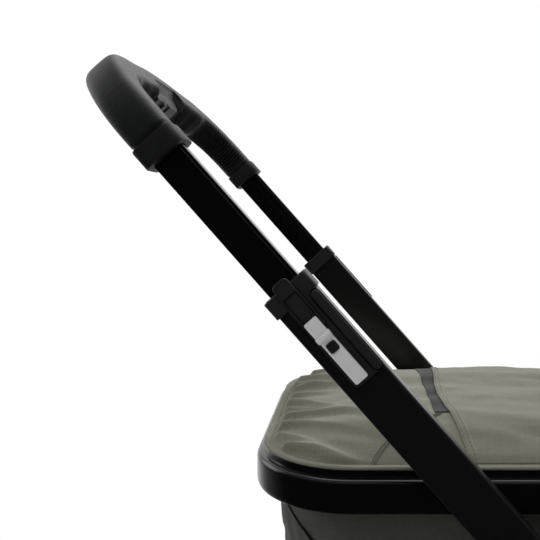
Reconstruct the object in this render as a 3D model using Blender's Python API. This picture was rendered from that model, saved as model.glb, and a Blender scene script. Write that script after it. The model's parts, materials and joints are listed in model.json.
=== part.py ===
"""Two-in-one pram: a folding frame with a telescopic handle, and a carrycot that lifts off it.

Metres, +Z up, +X the way the pram rolls forward, +Y its left side. The origin is on the floor,
under the middle of the object. Run it with blender --background --python part.py.
"""

from math import atan2, cos, pi, radians, sin, tan

import bmesh
import bpy
from mathutils import Matrix, Vector

# Clearances
GAP = 0.0003  # between pieces that touch
SHALLOW = 0.0002  # keeps the faces of joined shapes out of one plane
FLAT_WITHIN = radians(0.02)  # faces that bend more are split

# Main layout, seen from the side; lengths along a tube are counted from the hub
TUBE_ANGLE = radians(48.5)  # slope of the handle tubes and front legs
HUB_HEIGHT = 0.4965
TUBE_CENTRE = 0.245  # half the distance between the tubes
REAR_AXLE_BACK = 0.35  # from the hub to the rear axle
COT_BACK = 0.365  # from the hub to the carrycot's rear end
COT_AHEAD = 0.435  # from the hub to the carrycot's front end

# Outer and inner tubes
OUTER_WIDTH = 0.047
OUTER_DEPTH = 0.025
OUTER_TOP = 0.4635
OUTER_EDGE = 0.005
INNER_WIDTH = 0.035
INNER_DEPTH = 0.017
INNER_EDGE = 0.003
INNER_WALL = 0.002
INNER_LOW = 0.300  # lower end of the inner tube, handle drawn out
TELESCOPE = 0.110  # travel of the handle
BORE_SPARE = 0.010  # left under the inner tube when the handle is in

# Latch on the outer tube's top
LATCH_RING_HEIGHT = 0.0197
LATCH_RING_WALL = 0.0020  # how far the ring stands out of the tube's edge
LATCH_FACE = 0.0040  # thickness of the tongue on the tube's outer face
TONGUE_DROP = 0.098  # from the tube's top to the tongue's lower end
TONGUE_BACK = -0.012
TONGUE_FRONT = 0.0235
TONGUE_CORNER = 0.005
STRIP_LENGTH = 0.096
STRIP_WIDTH = 0.009
STRIP_RISE = 0.0030
STRIP_MARGIN = 0.0005  # from the tongue's edge
BARREL_DROP = 0.0394  # from the tube's top to the lever's hinge
BARREL_RADIUS = 0.0030
KNUCKLE_HALF = 0.0043  # middle knuckle of the hinge
EAR_WIDTH = 0.0028  # outer knuckles of the hinge
PLATE_CENTRE = -0.0014
PLATE_WIDTH = 0.0148
PLATE_LENGTH = 0.0519
PLATE_THICK = 0.0031
PLATE_CORNER = 0.0015
PLATE_EDGE = 0.0005
UPPER_PLATE_LENGTH = 0.0172
UPPER_PLATE_THICK = 0.0025
UPPER_PLATE_LIFT = 0.0002  # over the hinge's barrel
LEVER_LENGTH = 0.0602
LEVER_THICK = 0.0037
LEVER_WIDTH = 0.0178
LEVER_CENTRE = -0.0005
LEVER_LIFT = 0.0042  # over the hinge's barrel
LATCH_BUTTON = 0.0100
LATCH_BUTTON_DROP = 0.0126  # below the hinge
LATCH_BUTTON_PROUD = 0.0018
LATCH_BUTTON_TRAVEL = 0.0015
TRAVEL_SPARE = 0.001  # left under a pressed button

# Handle grip
GRIP_COLLAR_DROP = 0.023  # from the start of the bend to the collar's lower end
GRIP_COLLAR_HEIGHT = 0.022
GRIP_COLLAR_CORNER = 0.009
GRIP_COLLAR_PROUD = 0.0013  # how far the collar stands out of the grip
GRIP_WIDTH = 0.044
GRIP_DEPTH = 0.0445
GRIP_CORNER = 0.012
GRIP_STRAIGHT = 0.008  # over the collar, before the bend
CROSSBAR_ALONG = 0.7765
CROSSBAR_BOW = 0.0084
CROSSBAR_LEAN = -0.001  # how far the crossbar stands ahead of the tubes' plane
CORNER_ACROSS = 0.120
CORNER_ALONG = 0.102
CORNER_SQUARE = 0.91  # power of the corner's curve; less is squarer
CORE_RADIUS = 0.012

# Fold housing, trigger and lock button, under the middle of the crossbar
HOUSING_HALF = 0.037
HOUSING_WIDTH = 0.024
HOUSING_DROP = 0.0245  # from the crossbar's centre to the housing's lower face
HOUSING_BEVEL = 0.004
HOUSING_FOOT = 0.018  # width of the housing's lower face
HOUSING_SEAT = 0.0017  # the bowed core dips this much at the housing's ends
TRIGGER_CENTRE = 0.0105
TRIGGER_HALF = 0.019
TRIGGER_WIDTH = 0.0164
TRIGGER_PROUD = 0.0045
TRIGGER_TRAVEL = 0.004
LOCK_INSET = 0.016  # lock button's centre from the housing's end
LOCK_SIDE = 0.0144
LOCK_PROUD = 0.0035
LOCK_TRAVEL = 0.003
POCKET_SPARE = 0.001  # over a trigger or button that is pressed in
KEY_HEIGHT = 0.0075

# Hub: three layers side by side, outer tube, hub with front leg, rear leg
LAYER_GAP = 0.0005  # between pieces that turn side by side
HUB_RADIUS = 0.036
HUB_DEPTH = 0.022
PIN_RADIUS = 0.009
CAP_RADIUS = 0.021
CAP_THICK = 0.0042
ADAPTOR_WIDTH = 0.045
SLOT_HALF = 0.0125  # of the adaptor's slot, along X
SLOT_SHARE = 0.56  # of the adaptor's thickness, across
SLOT_SPARE = 0.002  # under the bracket's tongue
LEG_WIDTH = 0.039
LEG_DEPTH = 0.0208
LEG_START = 0.0503
LEG_SOCKET = 0.050  # of the swivel housing, along the leg
LEG_SHORT = 0.0613  # from the leg's end to the swivel's axis
LEG_RISE = 0.0089  # of the leg's line over the swivel housing's foot
REAR_LEG_DEPTH = 0.0193
REAR_LEG_RADIUS = 0.018

# Wheels
REAR_WHEEL_RADIUS = 0.140
REAR_WHEEL_CENTRE = 0.2725  # across
REAR_TYRE_HALF = 0.0225
REAR_TYRE_HEIGHT = 0.028
REAR_WHEEL_HUB = 0.022
REAR_WINDOW_FOOT = 0.060
REAR_SPOKE = 0.020
FRONT_WHEEL_RADIUS = 0.095
FRONT_TYRE_HALF = 0.019
FRONT_TYRE_HEIGHT = 0.020
FRONT_WHEEL_HUB = 0.018
FRONT_WINDOW_FOOT = 0.028
FRONT_SPOKE = 0.014
RIM_LIP = 0.008  # height of a wheel rim's channel
RIM_RING = 0.014  # left between the spokes' windows and the tyre
RIM_SHARE = 0.8  # of the tyre's width
WEB_HALF = 0.006  # of a front wheel's spokes
REAR_WEB = 0.010  # thickness of a rear wheel's spokes
TRAIL = 0.035  # front axle behind the swivel
FRONT_AXLE_RADIUS = 0.006
REAR_AXLE_RADIUS = 0.008
REAR_BEAM_RADIUS = 0.016
WHEEL_SIDES = 28

# Brake
BRAKE_REACH = 0.045  # pin from the axle
BRAKE_PIN_RADIUS = 0.004
BRAKE_PIN_PROUD = 0.001  # brake off
BRAKE_TRAVEL = 0.008
BRAKE_CLEAR = 0.001  # between the brake's housing and the tyre's side
BRAKE_RING_INNER = 0.034
BRAKE_RING_RISE = 0.007  # of the teeth past the pin's centre
BRAKE_NOTCHES = 8
PEDAL_LENGTH = 0.090
PEDAL_HALF = 0.032
PEDAL_THICK = 0.012
PEDAL_SLEEVE = 0.005  # wall of the sleeve round the axle
PEDAL_ROOM = 0.0006  # round the axle in the sleeve

# Swivel and fork
SWIVEL_RADIUS = 0.024
SWIVEL_HEIGHT = 0.057
STEM_RADIUS = 0.010
STEM_SHORT = 0.012  # from the stem's top to the housing's top
FORK_PLATE_THICK = 0.011
FORK_BLADE = 0.0075
FORK_BLADE_RADIUS = 0.0105
FORK_BRIDGE_HALF = 0.013
FORK_LEAN = 0.6  # where the blades leave the crown, as a share of the trail
FORK_CLEAR = 0.0018  # between tyre and blade
CROWN_CLEAR = 0.0037  # between tyre and fork crown

# Basket
BASKET_RAIL_HEIGHT = 0.305
BASKET_RAIL_RADIUS = 0.005
BASKET_BACK = 0.305  # rail from the hub, rearward
BASKET_CORNER = 0.050
BASKET_DEPTH = 0.127  # from the rail to the underside
BASKET_WALL = 0.0025
BASKET_HEM = 0.012
BASKET_FRONT_DRAW = 1.35  # of the front wall's slope to the rear wall's
BASKET_SIDE_DRAW = 0.7
HANGER_THICK = 0.0048
HANGER_RADIUS = 0.012
HANGER_CLEAR = 0.003  # between hanger and rear leg
HANGER_GRASP = 0.0039  # how far the rail lies in the hanger
CROSSBAR_RADIUS = 0.012

# Carrycot
RIM_CLEAR = 0.006  # between the rim and the handle's tubes
RIM_TOP = 0.665
RIM_HEIGHT = 0.0375
RIM_WIDTH = 0.0265
RIM_CORNER = 0.110
COT_DEPTH = 0.215  # from the rim's top to the underside
COT_WALL = 0.003
BODY_STEPS = 3  # flats on each corner of the body
COT_RECESS_SIDE = 0.018  # of the body under the rim, at the sides
COT_RECESS_END = 0.024
MATTRESS_HEIGHT = 0.040
MATTRESS_CLEAR = 0.006  # from the body's wall
APRON_INSET = 0.008
APRON_FRONT = 0.130  # apron's front edge ahead of the hub
APRON_FRONT_CORNER = 0.020
APRON_PIPING = 0.0085
APRON_CROWN = 0.025  # over the rim
APRON_CLOTH = 0.004
BRACKET_HALF = 0.034
BRACKET_HEIGHT = 0.0344
BRACKET_CLEAR = 0.0035  # between the bracket and the handle's tubes
BRACKET_TONGUE = 0.028  # depth in the adaptor's slot
RELEASE_HALF = 0.010
RELEASE_RISE = 0.008
RELEASE_DEPTH = 0.0083
RELEASE_CLEAR = 0.0007  # between the button and the handle's tubes
RELEASE_TRAVEL = 0.002

# Canopy
CANOPY_AHEAD = 0.220  # pivot ahead of the hub
CANOPY_RISE = 0.012  # pivot over the rim
CANOPY_REACH = 0.300
CANOPY_INSET = 0.012  # of the front bow from the rim's side
CANOPY_STOP = 0.010  # from the rear panel's edge to the carrycot's front end
BOW_RADIUS = 0.006
BOW_FOOT_RADIUS = 0.009
GRIP_RADIUS = 0.011
GRIP_HALF = 0.060
CLOTH = 0.0015
CLOTH_CLEAR = 0.0005  # between the bows and the cloth over them
FRONT_BOW_ANGLE = radians(118)
MIDDLE_BOW_ANGLE = radians(70)
LUG_THICK = 0.0055
LUG_RADIUS = 0.008
CANOPY_PIN = 0.004
CANOPY_PIN_ROOM = 0.0004  # round the pin, so that its flats turn free
CANOPY_PIN_SHORT = 0.00175  # of the bow's foot
ARCH_POWER = 3.0
ARCH_STEPS = 14

SIDES = (("right", -1), ("left", 1))

# Places that follow from the sizes above: across the pram
TUBE_FACE = TUBE_CENTRE + OUTER_DEPTH / 2
TUBE_INNER_FACE = TUBE_CENTRE - OUTER_DEPTH / 2
TONGUE_FACE = TUBE_FACE + GAP + LATCH_FACE - SHALLOW
HUB_OUTER = TUBE_INNER_FACE - LAYER_GAP
HUB_INNER = HUB_OUTER - HUB_DEPTH
LEG_CENTRE = (HUB_OUTER + HUB_INNER) / 2
REAR_LEG_OUTER = HUB_INNER - GAP
REAR_LEG_INNER = REAR_LEG_OUTER - REAR_LEG_DEPTH
HANGER_OUTER = REAR_LEG_INNER - HANGER_CLEAR - GAP
HANGER_INNER = HANGER_OUTER - HANGER_THICK
LOCK_CENTRE = LOCK_INSET - HOUSING_HALF
BASKET_RAIL_HALF = HANGER_INNER + HANGER_GRASP - BASKET_RAIL_RADIUS
BRAKE_HOUSING_FACE = REAR_WHEEL_CENTRE - REAR_TYRE_HALF - BRAKE_CLEAR
RIM_HALF = TUBE_INNER_FACE - RIM_CLEAR
BRACKET_FACE = TUBE_INNER_FACE - BRACKET_CLEAR
RELEASE_FACE = TUBE_INNER_FACE - RELEASE_CLEAR
CANOPY_HALF = RIM_HALF - CANOPY_INSET
LUG_INNER = CANOPY_HALF - BOW_RADIUS - LAYER_GAP - LUG_THICK
MIDDLE_BOW_FOOT = LUG_INNER - LAYER_GAP - BOW_RADIUS

# Places that follow from the sizes above: along the tubes
BORE_LOW = INNER_LOW - TELESCOPE - BORE_SPARE
TONGUE_LOW = OUTER_TOP - TONGUE_DROP
BARREL_ALONG = OUTER_TOP - BARREL_DROP
LATCH_BUTTON_ALONG = BARREL_ALONG - LATCH_BUTTON_DROP
GRIP_COLLAR_LOW = CROSSBAR_ALONG - CORNER_ALONG - GRIP_COLLAR_DROP
GRIP_COLLAR_TOP = GRIP_COLLAR_LOW + GRIP_COLLAR_HEIGHT
GRIP_LOW = GRIP_COLLAR_TOP + GAP
HOUSING_ALONG = CROSSBAR_ALONG + CROSSBAR_BOW

# Places that follow from the sizes above: heights, wheels and canopy
RIM_BOTTOM = RIM_TOP - RIM_HEIGHT
COT_FLOOR = RIM_TOP - COT_DEPTH
ADAPTOR_TOP = RIM_BOTTOM - BRACKET_HEIGHT - 2 * GAP
REAR_RIM_RADIUS = REAR_WHEEL_RADIUS - REAR_TYRE_HEIGHT
FRONT_RIM_RADIUS = FRONT_WHEEL_RADIUS - FRONT_TYRE_HEIGHT
SWIVEL_LOW = 2 * FRONT_WHEEL_RADIUS + CROWN_CLEAR + FORK_PLATE_THICK + GAP
SWIVEL_HIGH = SWIVEL_LOW + SWIVEL_HEIGHT
STEM_TOP = SWIVEL_HIGH - STEM_SHORT
SWIVEL_AHEAD = (HUB_HEIGHT - SWIVEL_LOW - LEG_RISE) / tan(TUBE_ANGLE)
LEG_END = SWIVEL_AHEAD / cos(TUBE_ANGLE) - LEG_SHORT
BASKET_FLOOR = BASKET_RAIL_HEIGHT - BASKET_DEPTH
CANOPY_END = COT_AHEAD - CANOPY_AHEAD - CANOPY_STOP


def remove_everything():
    for item in list(bpy.data.objects):
        bpy.data.objects.remove(item, do_unlink=True)


def material(name, colour, roughness, metallic=0.0):
    made = bpy.data.materials.new(name)
    made.use_nodes = True
    shader = made.node_tree.nodes["Principled BSDF"]
    shader.inputs["Base Color"].default_value = (*colour, 1.0)
    shader.inputs["Roughness"].default_value = roughness
    shader.inputs["Metallic"].default_value = metallic
    made.diffuse_color = (*colour, 1.0)
    return made


def place(a, b, along, axis):
    """A point of an outline (a, b) at a distance along the axis that the outline is square to."""
    if axis == "x":
        return Vector((along, a, b))
    if axis == "y":
        return Vector((a, along, b))
    return Vector((a, b, along))


def circle(radius, sides, centre=(0.0, 0.0), phase=0.0):
    turns = [phase + 2 * pi * i / sides for i in range(sides)]
    return [(centre[0] + radius * cos(t), centre[1] + radius * sin(t)) for t in turns]


def rounded_rect(width, height, radius, steps=3, centre=(0.0, 0.0)):
    """Outline of a rectangle with round corners, anticlockwise."""
    points = []
    for quarter, (sx, sy) in enumerate(((1, 1), (-1, 1), (-1, -1), (1, -1))):
        cx = centre[0] + sx * (width / 2 - radius)
        cy = centre[1] + sy * (height / 2 - radius)
        for i in range(steps + 1):
            turn = quarter * pi / 2 + i * pi / 2 / steps
            points.append((cx + radius * cos(turn), cy + radius * sin(turn)))
    return points


def capsule(start, end, radius, steps=8):
    """Outline of a bar with round ends from start to end."""
    heading = atan2(end[1] - start[1], end[0] - start[0])
    points = []
    for centre, first in ((end, heading - pi / 2), (start, heading + pi / 2)):
        for i in range(steps + 1):
            turn = first + pi * i / steps
            points.append((centre[0] + radius * cos(turn), centre[1] + radius * sin(turn)))
    return points


def plan(back, front, half, rear_corner, front_corner, inset=0.0, steps=5):
    """Plan outline of the carrycot's shapes, drawn in by an inset."""
    points = []
    least = 0.004
    corners = (
        (front, 1, front_corner, 0),
        (back, 1, rear_corner, 1),
        (back, -1, rear_corner, 2),
        (front, -1, front_corner, 3),
    )
    for end, side, corner, quarter in corners:
        radius = max(corner - inset, least)
        inward = 1 if end == back else -1
        cx = end + inward * (inset + radius)
        cy = side * (half - inset - radius)
        for i in range(steps + 1):
            turn = quarter * pi / 2 + i * pi / 2 / steps
            points.append((cx + radius * cos(turn), cy + radius * sin(turn)))
    return points


def level(outline, height):
    return [Vector((x, y, height)) for x, y in outline]


def loft(rings, closed=False):
    """Skin over rings with as many points each; the ends are capped unless the rings close."""
    mesh = bmesh.new()
    loops = [[mesh.verts.new(point) for point in ring] for ring in rings]
    pairs = list(zip(loops, loops[1:]))
    if closed:
        pairs.append((loops[-1], loops[0]))
    for low, high in pairs:
        for i in range(len(low)):
            j = (i + 1) % len(low)
            mesh.faces.new((low[i], low[j], high[j], high[i]))
    if not closed:
        mesh.faces.new(loops[0])
        mesh.faces.new(loops[-1])
    bmesh.ops.recalc_face_normals(mesh, faces=mesh.faces)
    return mesh


def prism(outline, axis, low, high):
    low, high = min(low, high), max(low, high)
    rings = [[place(a, b, at, axis) for a, b in outline] for at in (low, high)]
    return loft(rings)


def soft_prism(outline, axis, low, high, edge, steps=2, flat_above=None):
    """Prism whose end edges are rounded; edges above flat_above along Z stay sharp."""
    mesh = prism(outline, axis, low, high)
    number = "xyz".index(axis)
    ends = (min(low, high), max(low, high))
    picked = []
    for edge_item in mesh.edges:
        a, b = (v.co for v in edge_item.verts)
        if abs(a[number] - b[number]) > 1e-6:
            continue
        if min(abs(a[number] - end) for end in ends) > 1e-6:
            continue
        if flat_above is not None and min(a.z, b.z) > flat_above:
            continue
        picked.append(edge_item)
    bmesh.ops.bevel(
        mesh, geom=picked, offset=edge, segments=steps, profile=0.5, affect="EDGES", material=-1
    )
    return mesh


def box(low, high):
    size = [abs(b - a) for a, b in zip(low, high)]
    middle = [(a + b) / 2 for a, b in zip(low, high)]
    mesh = bmesh.new()
    bmesh.ops.create_cube(mesh, size=1.0)
    bmesh.ops.scale(mesh, vec=size, verts=mesh.verts)
    bmesh.ops.translate(mesh, vec=middle, verts=mesh.verts)
    return mesh


def pipe(outer, inner, axis, low, high):
    """Open tube between two outlines with as many points each."""
    rings = []
    for outline, at in ((outer, low), (outer, high), (inner, high), (inner, low)):
        rings.append([place(a, b, at, axis) for a, b in outline])
    return loft(rings, closed=True)


def shaft(steps, axis, sides, centre=(0.0, 0.0)):
    """Turned bar: steps are (along, radius)."""
    rings = []
    for along, radius in steps:
        rings.append([place(a, b, along, axis) for a, b in circle(radius, sides, centre)])
    return loft(rings)


def turned_ring(profile, sides):
    """Ring about Y with a closed profile of (radius, along); a corner points straight down."""
    rings = []
    for i in range(sides):
        turn = -pi / 2 + 2 * pi * i / sides
        rings.append([Vector((r * cos(turn), y, r * sin(turn))) for r, y in profile])
    return loft(rings, closed=True)


def planar_sweep(path, normal, section, closed=False):
    """Sweep of a section (a along the path plane's normal, b in the plane) along points."""
    rings = []
    count = len(path)
    for i, point in enumerate(path):
        before = path[(i - 1) % count] if closed or i else point
        after = path[(i + 1) % count] if closed or i < count - 1 else point
        heading = (after - before).normalized()
        side = heading.cross(normal).normalized()
        rings.append([point + normal * a + side * b for a, b in section])
    return loft(rings, closed=closed)


def shell(outer, inner):
    """Closed cloth panel between two grids of points with the same rows and columns."""
    mesh = bmesh.new()
    front = [[mesh.verts.new(point) for point in row] for row in outer]
    back = [[mesh.verts.new(point) for point in row] for row in inner]
    rows = len(front)
    columns = len(front[0])
    for grid in (front, back):
        for i in range(rows - 1):
            for j in range(columns - 1):
                mesh.faces.new((grid[i][j], grid[i][j + 1], grid[i + 1][j + 1], grid[i + 1][j]))
    for i in (0, rows - 1):
        for j in range(columns - 1):
            mesh.faces.new((front[i][j], front[i][j + 1], back[i][j + 1], back[i][j]))
    for j in (0, columns - 1):
        for i in range(rows - 1):
            mesh.faces.new((front[i][j], front[i + 1][j], back[i + 1][j], back[i][j]))
    bmesh.ops.recalc_face_normals(mesh, faces=mesh.faces)
    return mesh


def moved(mesh, matrix):
    bmesh.ops.transform(mesh, matrix=matrix, verts=mesh.verts)
    return mesh


def pivot(name, location, lean=0.0, parent=None):
    """Empty on a joint's axis; lean turns it about Y."""
    made = bpy.data.objects.new(name, None)
    bpy.context.scene.collection.objects.link(made)
    made.location = location
    made.rotation_euler = (0.0, lean, 0.0)
    made.parent = parent
    return made


def mesh_object(name, mesh, parent, origin):
    data = bpy.data.meshes.new(name)
    bmesh.ops.translate(mesh, vec=-Vector(origin), verts=mesh.verts)
    mesh.to_mesh(data)
    mesh.free()
    made = bpy.data.objects.new(name, data)
    bpy.context.scene.collection.objects.link(made)
    made.parent = parent
    made.location = origin
    return made


def piece(name, mesh, finish, parent, origin=(0.0, 0.0, 0.0), joins=(), cuts=(), smooth=True):
    """One solid sub-part: a mesh, the shapes joined to it and the shapes cut from it."""
    made = mesh_object(name, mesh, parent, origin)
    made.data.materials.append(finish)
    for operation, shapes in (("UNION", joins), ("DIFFERENCE", cuts)):
        for number, shape in enumerate(shapes):
            tool = mesh_object(f"{name}_{operation.lower()}_{number}", shape, parent, origin)
            tool.hide_render = True
            tool.display_type = "WIRE"
            step = made.modifiers.new(tool.name, "BOOLEAN")
            step.operation = operation
            step.solver = "EXACT"
            step.object = tool
    if smooth:
        made.data.shade_smooth()
        made.data.set_sharp_from_angle(angle=radians(35))
    return made


def grip_path():
    """Centreline of the grip's U in the handle's plane, from the right leg to the left."""
    half = TUBE_CENTRE - CORNER_ACROSS
    points = [(-TUBE_CENTRE, GRIP_LOW), (-TUBE_CENTRE, GRIP_LOW + GRIP_STRAIGHT)]
    corner = 5
    for i in range(1, corner + 1):
        turn = pi - i * pi / 2 / corner
        y = -half - CORNER_ACROSS * abs(cos(turn)) ** CORNER_SQUARE
        s = CROSSBAR_ALONG - CORNER_ALONG + CORNER_ALONG * abs(sin(turn)) ** CORNER_SQUARE
        points.append((y, s))
    middle = 4
    for i in range(1, middle):
        y = -half + 2 * half * i / middle
        points.append((y, CROSSBAR_ALONG + CROSSBAR_BOW * (1 - (y / half) ** 2)))
    mirrored = [(-y, s) for y, s in reversed(points[: corner + 2])]
    points += mirrored
    path = []
    for y, s in points:
        rise = (s - GRIP_LOW) / (HOUSING_ALONG - GRIP_LOW)
        path.append(Vector((CROSSBAR_LEAN * max(rise, 0.0), y, s)))
    return path


def rearmost_grip_point():
    """How far behind the hub the grip reaches, in the world."""
    reach = 0.0
    for point in grip_path():
        for a, b in rounded_rect(GRIP_WIDTH, GRIP_DEPTH, GRIP_CORNER, 2):
            n = point.x + a
            s = point.z + (b if abs(point.y) < TUBE_CENTRE - CORNER_ACROSS else 0.0)
            reach = max(reach, s * cos(TUBE_ANGLE) - n * sin(TUBE_ANGLE))
    return reach


HUB_X = (rearmost_grip_point() - COT_AHEAD) / 2


def tube_layer(sign, width, depth, edge, low, high, wall=None, steps=3):
    """Rounded tube in the handle's frame, solid or with a wall."""
    centre = (0.0, sign * TUBE_CENTRE)
    outer = rounded_rect(width, depth, edge, steps, centre)
    if wall is None:
        return prism(outer, "z", low, high)
    inner = rounded_rect(width - 2 * wall, depth - 2 * wall, max(edge - wall, 0.001), steps, centre)
    return pipe(outer, inner, "z", low, high)


def inner_bore(sign, low, high):
    return tube_layer(sign, INNER_WIDTH + 2 * GAP, INNER_DEPTH + 2 * GAP, INNER_EDGE, low, high)


def make_outer_tube(side, sign, finish, fold):
    radius = OUTER_WIDTH / 2
    outline = [(radius, OUTER_TOP), (-radius, OUTER_TOP)]
    steps = 12
    for i in range(steps + 1):
        turn = pi + pi * i / steps
        outline.append((radius * cos(turn), radius * sin(turn)))
    low = sign * (TUBE_CENTRE - OUTER_DEPTH / 2)
    high = sign * TUBE_FACE
    body = soft_prism(outline, "y", low, high, OUTER_EDGE, 2, OUTER_TOP - 0.001)
    hole = prism(circle(PIN_RADIUS + GAP, 16), "y", low - sign * 0.01, high + sign * 0.01)
    bore = inner_bore(sign, BORE_LOW, OUTER_TOP + 0.01)
    piece(f"outer_tube_{side}", body, finish, fold, cuts=(bore, hole))


def make_latch(side, sign, finishes, fold):
    """Collar with tongue, silver plates, flip lever and button, on the tube's outer face."""
    low = OUTER_TOP + GAP
    high = low + LATCH_RING_HEIGHT
    ring_half = TONGUE_FACE + SHALLOW - TUBE_CENTRE
    outer = rounded_rect(
        OUTER_WIDTH + 2 * LATCH_RING_WALL, 2 * ring_half, OUTER_EDGE, 3, (0.0, sign * TUBE_CENTRE)
    )
    inner = rounded_rect(
        INNER_WIDTH + 2 * GAP, INNER_DEPTH + 2 * GAP, INNER_EDGE, 3, (0.0, sign * TUBE_CENTRE)
    )
    ring = pipe(outer, inner, "z", low, high)
    tongue_width = TONGUE_FRONT - TONGUE_BACK
    tongue_top = low + LATCH_RING_HEIGHT / 2
    tongue = prism(
        rounded_rect(
            tongue_width,
            tongue_top - TONGUE_LOW,
            TONGUE_CORNER,
            3,
            ((TONGUE_FRONT + TONGUE_BACK) / 2, (tongue_top + TONGUE_LOW) / 2),
        ),
        "y",
        sign * (TUBE_FACE + GAP),
        sign * TONGUE_FACE,
    )
    strip_x = TONGUE_FRONT - STRIP_MARGIN - STRIP_WIDTH / 2
    strip_low = TONGUE_LOW + 2 * STRIP_MARGIN + STRIP_WIDTH / 2
    strip_high = strip_low + STRIP_LENGTH - STRIP_WIDTH
    strip = soft_prism(
        capsule((strip_x, strip_low), (strip_x, strip_high), STRIP_WIDTH / 2, 6),
        "y",
        sign * (TONGUE_FACE - 0.002),
        sign * (TONGUE_FACE + STRIP_RISE),
        0.001,
        1,
    )
    button_hole = LATCH_BUTTON + 2 * GAP
    button_centre = (PLATE_CENTRE, LATCH_BUTTON_ALONG)
    pocket_floor = TONGUE_FACE - LATCH_BUTTON_TRAVEL - TRAVEL_SPARE
    pocket = prism(
        rounded_rect(button_hole, button_hole, 0.002, 2, button_centre),
        "y",
        sign * pocket_floor,
        sign * (TONGUE_FACE + 0.01),
    )
    piece(f"latch_collar_{side}", ring, finishes["matte"], fold, joins=(tongue, strip), cuts=(pocket,))

    plate_inner = TONGUE_FACE + GAP
    plate_outer = plate_inner + PLATE_THICK
    plate_top = BARREL_ALONG - BARREL_RADIUS
    plate = soft_prism(
        rounded_rect(
            PLATE_WIDTH, PLATE_LENGTH, PLATE_CORNER, 2, (PLATE_CENTRE, plate_top - PLATE_LENGTH / 2)
        ),
        "y",
        sign * plate_inner,
        sign * plate_outer,
        PLATE_EDGE,
        1,
    )
    barrel_depth = plate_inner + BARREL_RADIUS + GAP
    barrel = prism(
        circle(BARREL_RADIUS, 12, (sign * barrel_depth, BARREL_ALONG)),
        "x",
        PLATE_CENTRE - KNUCKLE_HALF,
        PLATE_CENTRE + KNUCKLE_HALF,
    )
    neck = box(
        (
            PLATE_CENTRE - KNUCKLE_HALF + SHALLOW,
            sign * (plate_inner + 2 * SHALLOW),
            plate_top - PLATE_THICK / 2,
        ),
        (
            PLATE_CENTRE + KNUCKLE_HALF - SHALLOW,
            sign * (plate_outer - 2 * SHALLOW),
            BARREL_ALONG,
        ),
    )
    hole = prism(
        rounded_rect(button_hole, button_hole, 0.002, 2, button_centre),
        "y",
        sign * (plate_inner - 0.01),
        sign * (plate_outer + 0.01),
    )
    piece(f"latch_plate_{side}", plate, finishes["silver"], fold, joins=(neck, barrel), cuts=(hole,))

    button = soft_prism(
        rounded_rect(LATCH_BUTTON, LATCH_BUTTON, 0.0018, 2, button_centre),
        "y",
        sign * (TONGUE_FACE - SHALLOW),
        sign * (plate_outer + LATCH_BUTTON_PROUD),
        0.0006,
        1,
    )
    origin = (PLATE_CENTRE, sign * TONGUE_FACE, LATCH_BUTTON_ALONG)
    piece(f"latch_button_{side}", button, finishes["matte"], fold, origin)

    hinge = (PLATE_CENTRE, sign * barrel_depth, BARREL_ALONG)
    lever_inner = TONGUE_FACE + SHALLOW + GAP
    lever_outer = lever_inner + LEVER_THICK
    lever_low = BARREL_ALONG + BARREL_RADIUS + LEVER_LIFT
    lever = soft_prism(
        rounded_rect(
            LEVER_WIDTH, LEVER_LENGTH, TONGUE_CORNER, 3, (LEVER_CENTRE, lever_low + LEVER_LENGTH / 2)
        ),
        "y",
        sign * lever_inner,
        sign * lever_outer,
        2 * PLATE_EDGE,
        1,
    )
    piece(f"latch_lever_{side}", lever, finishes["matte"], fold, hinge)
    cover_inner = lever_outer + GAP
    cover_outer = cover_inner + UPPER_PLATE_THICK
    cover_low = BARREL_ALONG + BARREL_RADIUS + UPPER_PLATE_LIFT
    cover = soft_prism(
        rounded_rect(
            PLATE_WIDTH,
            UPPER_PLATE_LENGTH,
            PLATE_CORNER,
            2,
            (PLATE_CENTRE, cover_low + UPPER_PLATE_LENGTH / 2),
        ),
        "y",
        sign * cover_inner,
        sign * cover_outer,
        PLATE_EDGE,
        1,
    )
    joins = []
    for end in (-1, 1):
        near = PLATE_CENTRE + end * (KNUCKLE_HALF + GAP)
        far = near + end * EAR_WIDTH
        joins.append(
            prism(
                circle(BARREL_RADIUS, 12, (sign * barrel_depth, BARREL_ALONG)),
                "x",
                near,
                far,
            )
        )
        joins.append(
            box(
                (min(near, far) + SHALLOW, sign * (barrel_depth + SHALLOW), BARREL_ALONG),
                (max(near, far) - SHALLOW, sign * (cover_outer - 3 * SHALLOW), cover_low + 0.002),
            )
        )
    piece(f"lever_plate_{side}", cover, finishes["silver"], fold, hinge, joins=joins)


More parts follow.
